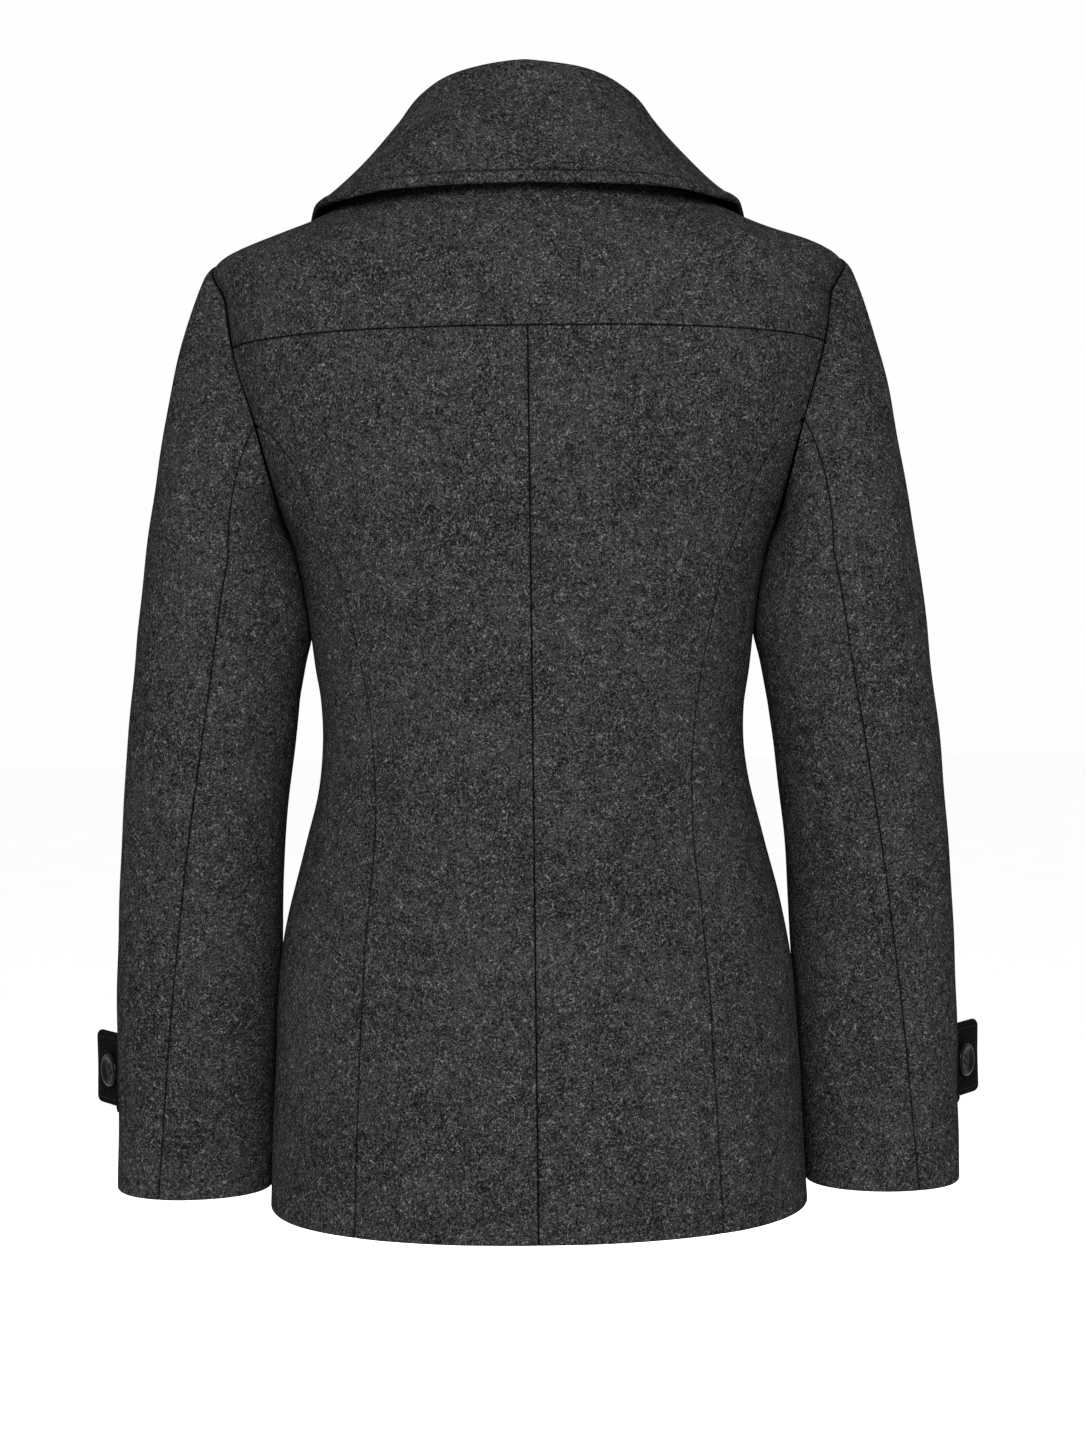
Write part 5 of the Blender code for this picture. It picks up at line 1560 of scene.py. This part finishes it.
def button_mesh(name, radius, thickness):
    """A four-hole button: a soft rim round a sunk middle, drilled through."""
    r, t = radius, thickness
    corners = [(r * out, t * up) for out, up in BUTTON_PROFILE]
    sides = bpy.context.scene.coat_buttons.turns
    body = bpy.data.objects.new(name, disc(name, bevelled(corners, r * BUTTON_SOFTNESS), sides))
    holes = bmesh.new()
    reach = r * HOLE_OFFSET * math.sqrt(2)
    for turn in (math.tau / 8 + quarter for quarter in ring_turns(4)):
        made = bmesh.ops.create_cone(holes, cap_ends=True, segments=20, radius1=r * HOLE_RADIUS,
                                     radius2=r * HOLE_RADIUS, depth=t * 3)
        bmesh.ops.translate(holes, verts=made["verts"],
                            vec=(reach * math.cos(turn), reach * math.sin(turn), 0))
    cutter = bpy.data.objects.new("holes", bpy.data.meshes.new("holes"))
    holes.to_mesh(cutter.data)
    holes.free()
    for obj in (body, cutter):
        bpy.context.scene.collection.objects.link(obj)
    cut = body.modifiers.new("Holes", "BOOLEAN")
    cut.object = cutter
    cut.operation = "DIFFERENCE"
    cut.solver = "EXACT"
    graph = bpy.context.evaluated_depsgraph_get()
    mesh = bpy.data.meshes.new_from_object(body.evaluated_get(graph))
    for obj in (body, cutter):
        bpy.data.objects.remove(obj)
    mesh.shade_smooth()
    mesh.set_sharp_from_angle(angle=SHARPEST)
    return mesh


STRAND = 0.00042  # radius of one strand of a button's thread
STRAND_STEP = 1.25  # from strand to strand at the holes, of that radius
STRAND_GATHER = 0.35  # how much nearer the strands lie half way
DIVE_FROM, DIVE = 0.78, 0.0016  # how far along, and how deep, a strand turns into its hole


def thread_mesh(name, radius, thickness):
    """Two bars of thread across the sunk middle, from hole to hole, several strands in each."""
    verts, faces = [], []
    reach, steps = radius * HOLE_OFFSET, 12
    for across in (-1, 1):
        for strand in (-1, 0, 1):
            rings = []
            for t in np.arange(steps + 1) / steps * 2 - 1:
                y = across * reach + strand * STRAND * STRAND_STEP * (1 - STRAND_GATHER * t * t)
                drop = max(abs(t) - DIVE_FROM, 0) / (1 - DIVE_FROM)
                z = thickness * SUNK + STRAND * (1.1 - 0.3 * abs(strand)) - drop ** 2 * DIVE
                rings.append([(reach * t, y + STRAND * math.cos(turn), z + STRAND * math.sin(turn))
                              for turn in ring_turns(8)])
            tube(verts, faces, rings)
    return smooth_mesh(name, verts, faces)


def sew_button(node, radius, thickness, spot, normal, spin):
    """Places a button and its thread, its back on the cloth."""
    upright = Vector((0, 0, 1)).rotation_difference(Vector(normal))
    placed = (upright.to_matrix() @ Euler((0, 0, spin)).to_matrix()).to_4x4()
    placed.translation = Vector(spot)
    horn = button_mesh(f"{node}_horn", radius, thickness)
    thread = thread_mesh(f"{node}_thread", radius, thickness)
    for mesh in (horn, thread):
        mesh.transform(placed)
    body = put(f"{node}_horn", horn, node, finish_of("horn"))
    put(f"{node}_thread", thread, None, finish_of("thread"), body)


SEAT_RINGS = ((0.45, 0.0), (0.8, 0.06), (0.96, 0.28))  # where a button's back may touch: out, up
SEAT_TURNS = 24
SEAT_REACH = 0.02  # above and below the cloth, where it is looked for


def seat(cloth_piece, radius, thickness, spot, normal):
    """The place above the spot where a button's back just clears the cloth."""
    tree = BVHTree.FromObject(cloth_piece, bpy.context.evaluated_depsgraph_get())
    spot, normal = Vector(spot), Vector(normal)
    side = normal.orthogonal().normalized()
    other = normal.cross(side)
    heights = []
    for turn in ring_turns(SEAT_TURNS):
        out = side * math.cos(turn) + other * math.sin(turn)
        for share, rise in SEAT_RINGS:
            above = spot + out * radius * share + normal * SEAT_REACH
            hit, *_ = tree.ray_cast(above, -normal, 2 * SEAT_REACH)
            if hit is not None:
                heights.append((hit - spot).dot(normal) - rise * thickness)
    return spot + normal * (max(heights) + cloth().seam_gap)


def out_at(turn):
    """The level direction at a turn from the coat's left towards its back."""
    return np.array([math.cos(turn), math.sin(turn), 0.0])


def on_from(turn):
    """The level direction in which a tab goes on where it faces a turn."""
    return np.array([math.sin(turn), -math.cos(turn), 0.0])


def tab_path():
    """(place, outward direction) along the left tab, level, from its sewn end to its free end."""
    s = bpy.context.scene.coat_tab
    row = SLEEVE.at(np.float64(s.middle))
    middle, half = (row["inner"] + row["outer"]) / 2, (row["outer"] - row["inner"]) / 2
    centre = np.array([middle, row["forward"], 0.0])
    lift = s.clear + cloth().leaf
    outs = [out_at(turn) for turn in -np.linspace(0, s.seat / half, 9)]
    spots = [centre + out * (half, row["half_depth"], 0.0) + out * lift for out in outs]
    heading = math.atan2(outs[-1][1], outs[-1][0])
    steps = 24
    for i in range(steps):
        halfway, now = (heading + (s.turn - heading) * at / steps for at in (i + 0.5, i + 1))
        spots.append(spots[-1] + on_from(halfway) * s.bend / steps)
        outs.append(out_at(now))
    start = spots[-1]
    steps = 40
    for i in range(steps):
        spots.append(start + on_from(s.turn) * s.straight * (i + 1) / steps)
        outs.append(outs[-1])
    return np.array(spots), np.array(outs)


TAB_SPACING = 0.0016
TAB_PADDING = 0.8  # of the collar's padding and stitch channel


def tab_walls():
    """Outer and inner points of the left tab, its two free corners rounded."""
    s = bpy.context.scene.coat_tab
    spots, outs = tab_path()
    run = run_of(spots)
    wanted = shares(run[-1], TAB_SPACING) * run[-1]
    spots, outs = at_run(spots, run, wanted), unit(at_run(outs, run, wanted))
    to_end = run[-1] - wanted
    t = np.clip(1 - to_end / s.corner, 0, 1)
    half = s.width / 2 - s.corner * (1 - np.sqrt(1 - t * t))
    across = shares(s.width, TAB_SPACING) * 2 - 1
    outer = spots[:, None] + np.array([0, 0, 1.0]) * (s.middle + half[:, None] * across)[..., None]
    far = distances(outer)
    edge = np.minimum(np.minimum(far["first_column"], far["last_column"]), to_end[:, None])
    face = outer + outs[:, None] * (TAB_PADDING * channel(edge, s.stitch_in))[..., None]
    under = outer - outs[:, None] * cloth().leaf
    pressed = (1 - s.seat_press) * (1 - smooth(wanted / s.seat))
    return face + (under - face) * pressed[:, None, None], under


# ---------------------------------------------------------------- operators


HANDS = (("left", False), ("right", True))  # the coat's sides, and whether each is mirrored


class COAT_OT_body(bpy.types.Operator):
    """Sew the yoke, the backs and the side backs"""

    bl_idname = "coat.body"
    bl_label = "Body"

    def execute(self, context):
        armhole = edges("fine", "yoke+", "armhole", "armhole")
        body_piece("back_yoke", yoke_places(), armhole, hem=False)
        places = back_places()
        for (side, flip), middle in zip(HANDS, ("centre+", "centre-")):
            body_piece(f"back_{side}", places, edges("yoke-", "free", middle, "seam+"), flip=flip)
        both_sides("side_back", side_back_places(), edges("seam", "free", "seam-", "seam+"))
        return {"FINISHED"}


class COAT_OT_fronts(bpy.types.Operator):
    """Sew the two lapping fronts and their lapels"""

    bl_idname = "coat.fronts"
    bl_label = "Fronts"

    def execute(self, context):
        side, places = front_places()
        both_sides("side_front", side, edges("seam", "free", "seam-", "seam-"))
        for name, over in HANDS:
            body_piece(f"front_{name}", places, edges("seam", "free", "seam+", "free"), flip=over,
                       over=over)
            outer, inner = lapel_walls(over)
            if over:
                outer, inner = flipped(outer), flipped(inner)
            away = distances(outer)["first_column"]
            raised = channel(away, collar().stitch_in)
            outward = unit(outer - inner)
            outer = creased(outer, outward) + outward * raised[..., None]
            inner = creased(inner, outward)
            obj = sew_piece(f"lapel_{name}", outer, inner, edges("free", "free", "free"),
                            away=away)
            column = nearest(away[len(away) // 2], collar().stitch_in)
            line = (slice(4, -6), column)
            stitch_row(f"lapel_{name}_stitches", outer[line], outward[line], obj)
        return {"FINISHED"}


class COAT_OT_collar(bpy.types.Operator):
    """Fold the collar over its stand and topstitch its edge"""

    bl_idname = "coat.collar"
    bl_label = "Collar"

    def execute(self, context):
        (face, under, _), fall = collar_walls()
        sew_piece("collar_stand", face, under, edges("free", "free", "free", "fine"))
        face, under, normal = fall
        away, fold_away = fall_edge(face)
        column = nearest(distances(face)["last_column"][len(face) // 2], collar().stitch_in)
        unstitched = fold_away < FALL_STITCHED_FROM
        obj = sew_piece("collar", face, under, edges("free", "free", "fine", "free"),
                        away=away + unstitched)
        line = (slice(6, -6), column)
        stitch_row("collar_stitches", face[line], normal[line], obj)
        return {"FINISHED"}


class COAT_OT_sleeves(bpy.types.Operator):
    """Sew the top and under sleeves into the armholes"""

    bl_idname = "coat.sleeves"
    bl_label = "Sleeves"

    def execute(self, context):
        for name, layer, steps in (
            ("top_sleeve", "+", (FRONT_SEAM_STEP, PRINCESS_STEP)),
            ("under_sleeve", "-", (PRINCESS_STEP, 360 + FRONT_SEAM_STEP)),
        ):
            base, square = sleeve_walls(steps)
            for side, flip in HANDS:
                point, normal = (flipped(base), flipped(square)) if flip else (base, square)
                point = creased(point, normal)
                sew_piece(f"{name}_{side}", point, hemmed(point, normal),
                          edges("armhole", "free", f"fine{layer}", f"fine{layer}"))
        return {"FINISHED"}


CUFF_SPINS = (-0.25, 0.35)
BUTTON_SPINS = (0.10, -0.22, 0.31, -0.08, 0.19, -0.35)


class COAT_OT_cuffs(bpy.types.Operator):
    """Sew the cuff tabs and their buttons"""

    bl_idname = "coat.cuffs"
    bl_label = "Cuffs"

    def execute(self, context):
        s, b = context.scene.coat_tab, context.scene.coat_buttons
        face, under = tab_walls()
        spots, ways = tab_path()
        spot = spots[-1] - on_from(s.turn) * s.button_in + np.array([0, 0, s.middle])
        far = distances(face)
        column = nearest(far["first_column"][10], s.stitch_in)
        row = nearest(far["last_row"][:, 20], s.stitch_in)

        def round_edge(grid):
            return np.concatenate([grid[3:row, column], grid[row, column:-column],
                                   grid[3:row, -column - 1][::-1]])

        for (side, flip), spin in zip(HANDS, CUFF_SPINS):
            one, two, place, out = (flipped(grid) if flip else grid
                                    for grid in (face, under, spot, ways[-1]))
            obj = sew_piece(f"cuff_tab_{side}", one, two, edges("free", "free", "free", "free"),
                            finish="tab_cloth")
            stitch_row(f"cuff_tab_{side}_stitches", round_edge(one), round_edge(unit(one - two)), obj)
            place = seat(obj, b.cuff_radius, b.cuff_thickness, place, out)
            sew_button(f"cuff_button_{side}", b.cuff_radius, b.cuff_thickness, place, out, spin)
        return {"FINISHED"}


class COAT_OT_front_buttons(bpy.types.Operator):
    """Sew the two columns of front buttons"""

    bl_idname = "coat.front_buttons"
    bl_label = "Front buttons"

    def execute(self, context):
        b = context.scene.coat_buttons
        panel = bpy.data.objects["front_right_cloth"]
        spots = [(x, z) for x in (-b.spacing, b.spacing) for z in b.heights]
        for number, ((x, z), spin) in enumerate(zip(spots, BUTTON_SPINS), start=1):
            point, normal = (flipped(value) for value in front_frame(*front_place(x, z), True))
            place = seat(panel, b.front_radius, b.front_thickness, point, normal)
            sew_button(f"front_button_{number}", b.front_radius, b.front_thickness, place, normal,
                       spin)
        return {"FINISHED"}


LIGHT_COLUMNS = ("name", "place", "power", "width", "height")  # the power names its setting
LIGHTS = (
    ("key", (0.05, 2.7, 0.75), "key", 1.5, 1.5),
    ("front", (-0.05, -2.7, 0.75), "front", 1.5, 1.5),
    ("side_left", (2.4, 0.9, 0.0), "fill", 1.2, 2.4),
    ("side_right", (-2.4, 0.9, 0.0), "fill", 1.2, 2.4),
)
LIT_PLACE = Vector((0, 0, -0.36))  # where all the lights point
FLOOR_RINGS = (0, 1, 5, 20, 60)
SCUFFS = 0.35


class COAT_OT_studio(bpy.types.Operator):
    """Set up the pale floor, the soft lights and the camera"""

    bl_idname = "coat.studio"
    bl_label = "Studio"

    def execute(self, context):
        s = context.scene.coat_studio
        tones = context.scene.coat_colours
        profile = [(radius, 0) for radius in FLOOR_RINGS]
        floor = bpy.data.objects.new("floor", disc("floor", profile, 96))
        floor.location.z = s.floor
        finish, tree, shader, place = new_finish("studio_floor")
        scuffs = ranged(tree, noise(tree, place, SCUFFS, detail=3.0), 0.2, 0.8)
        shade = blend(tree, scuffs, rgba(tones.floor), rgba(tones.floor, 0.97))
        feed(tree, shader, {"Base Color": shade, "Roughness": 0.9})
        floor.data.materials.append(finish)
        context.scene.collection.objects.link(floor)
        floor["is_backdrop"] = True

        world = bpy.data.worlds.new("studio")
        world.use_nodes = True
        background = world.node_tree.nodes["Background"]
        background.inputs["Color"].default_value = rgba(tones.backdrop)
        background.inputs["Strength"].default_value = s.surround
        context.scene.world = world
        context.scene.view_settings.view_transform = "Standard"

        for row in LIGHTS:
            lamp_row = dict(zip(LIGHT_COLUMNS, row))
            light = bpy.data.lights.new(lamp_row["name"], "AREA")
            light.shape = "RECTANGLE"
            light.size, light.size_y = lamp_row["width"], lamp_row["height"]
            light.energy = getattr(s, lamp_row["power"])
            lamp = bpy.data.objects.new(lamp_row["name"], light)
            lamp.location = lamp_row["place"]
            aim = LIT_PLACE - lamp.location
            lamp.rotation_euler = aim.to_track_quat("-Z", "Y").to_euler()
            context.scene.collection.objects.link(lamp)

        view = bpy.data.cameras.new("camera")
        view.lens = s.lens
        view.sensor_width = 36
        camera = bpy.data.objects.new("camera", view)
        turned = Euler((math.radians(90), 0, math.radians(180))).to_matrix()
        camera.rotation_euler = (turned @ Euler((0, 0, s.roll)).to_matrix()).to_euler()
        camera.location = s.camera
        context.scene.collection.objects.link(camera)
        context.scene.camera = camera
        return {"FINISHED"}


OPERATORS = (
    COAT_OT_body,
    COAT_OT_fronts,
    COAT_OT_collar,
    COAT_OT_sleeves,
    COAT_OT_cuffs,
    COAT_OT_front_buttons,
    COAT_OT_studio,
)


class COAT_PT_panel(bpy.types.Panel):
    """Sizes, colours and steps of the coat"""

    bl_label = "Pea Coat"
    bl_idname = "COAT_PT_panel"
    bl_space_type = "VIEW_3D"
    bl_region_type = "UI"
    bl_category = "Coat"

    def draw(self, context):
        for name, group in GROUPS.items():
            box = self.layout.box()
            box.label(text=name.replace("_", " ").capitalize())
            for prop in group.__annotations__:
                box.prop(getattr(context.scene, name), prop)
        for operator in OPERATORS:
            self.layout.operator(operator.bl_idname)


def register():
    for name, group in GROUPS.items():
        bpy.utils.register_class(group)
        setattr(bpy.types.Scene, name, PointerProperty(type=group))
    for made in (*OPERATORS, COAT_PT_panel):
        bpy.utils.register_class(made)


def unregister():
    for made in (COAT_PT_panel, *reversed(OPERATORS)):
        bpy.utils.unregister_class(made)
    for name, group in reversed(GROUPS.items()):
        delattr(bpy.types.Scene, name)
        bpy.utils.unregister_class(group)


def corners():
    return [[float(value) for value in corner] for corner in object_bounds()]


def main():
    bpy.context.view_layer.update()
    register()
    bpy.ops.coat.body()
    bpy.ops.coat.fronts()
    bpy.ops.coat.collar()
    bpy.ops.coat.sleeves()
    bpy.ops.coat.cuffs()
    bpy.ops.coat.front_buttons()
    bpy.ops.coat.studio()


if __name__ == "__main__":
    main()
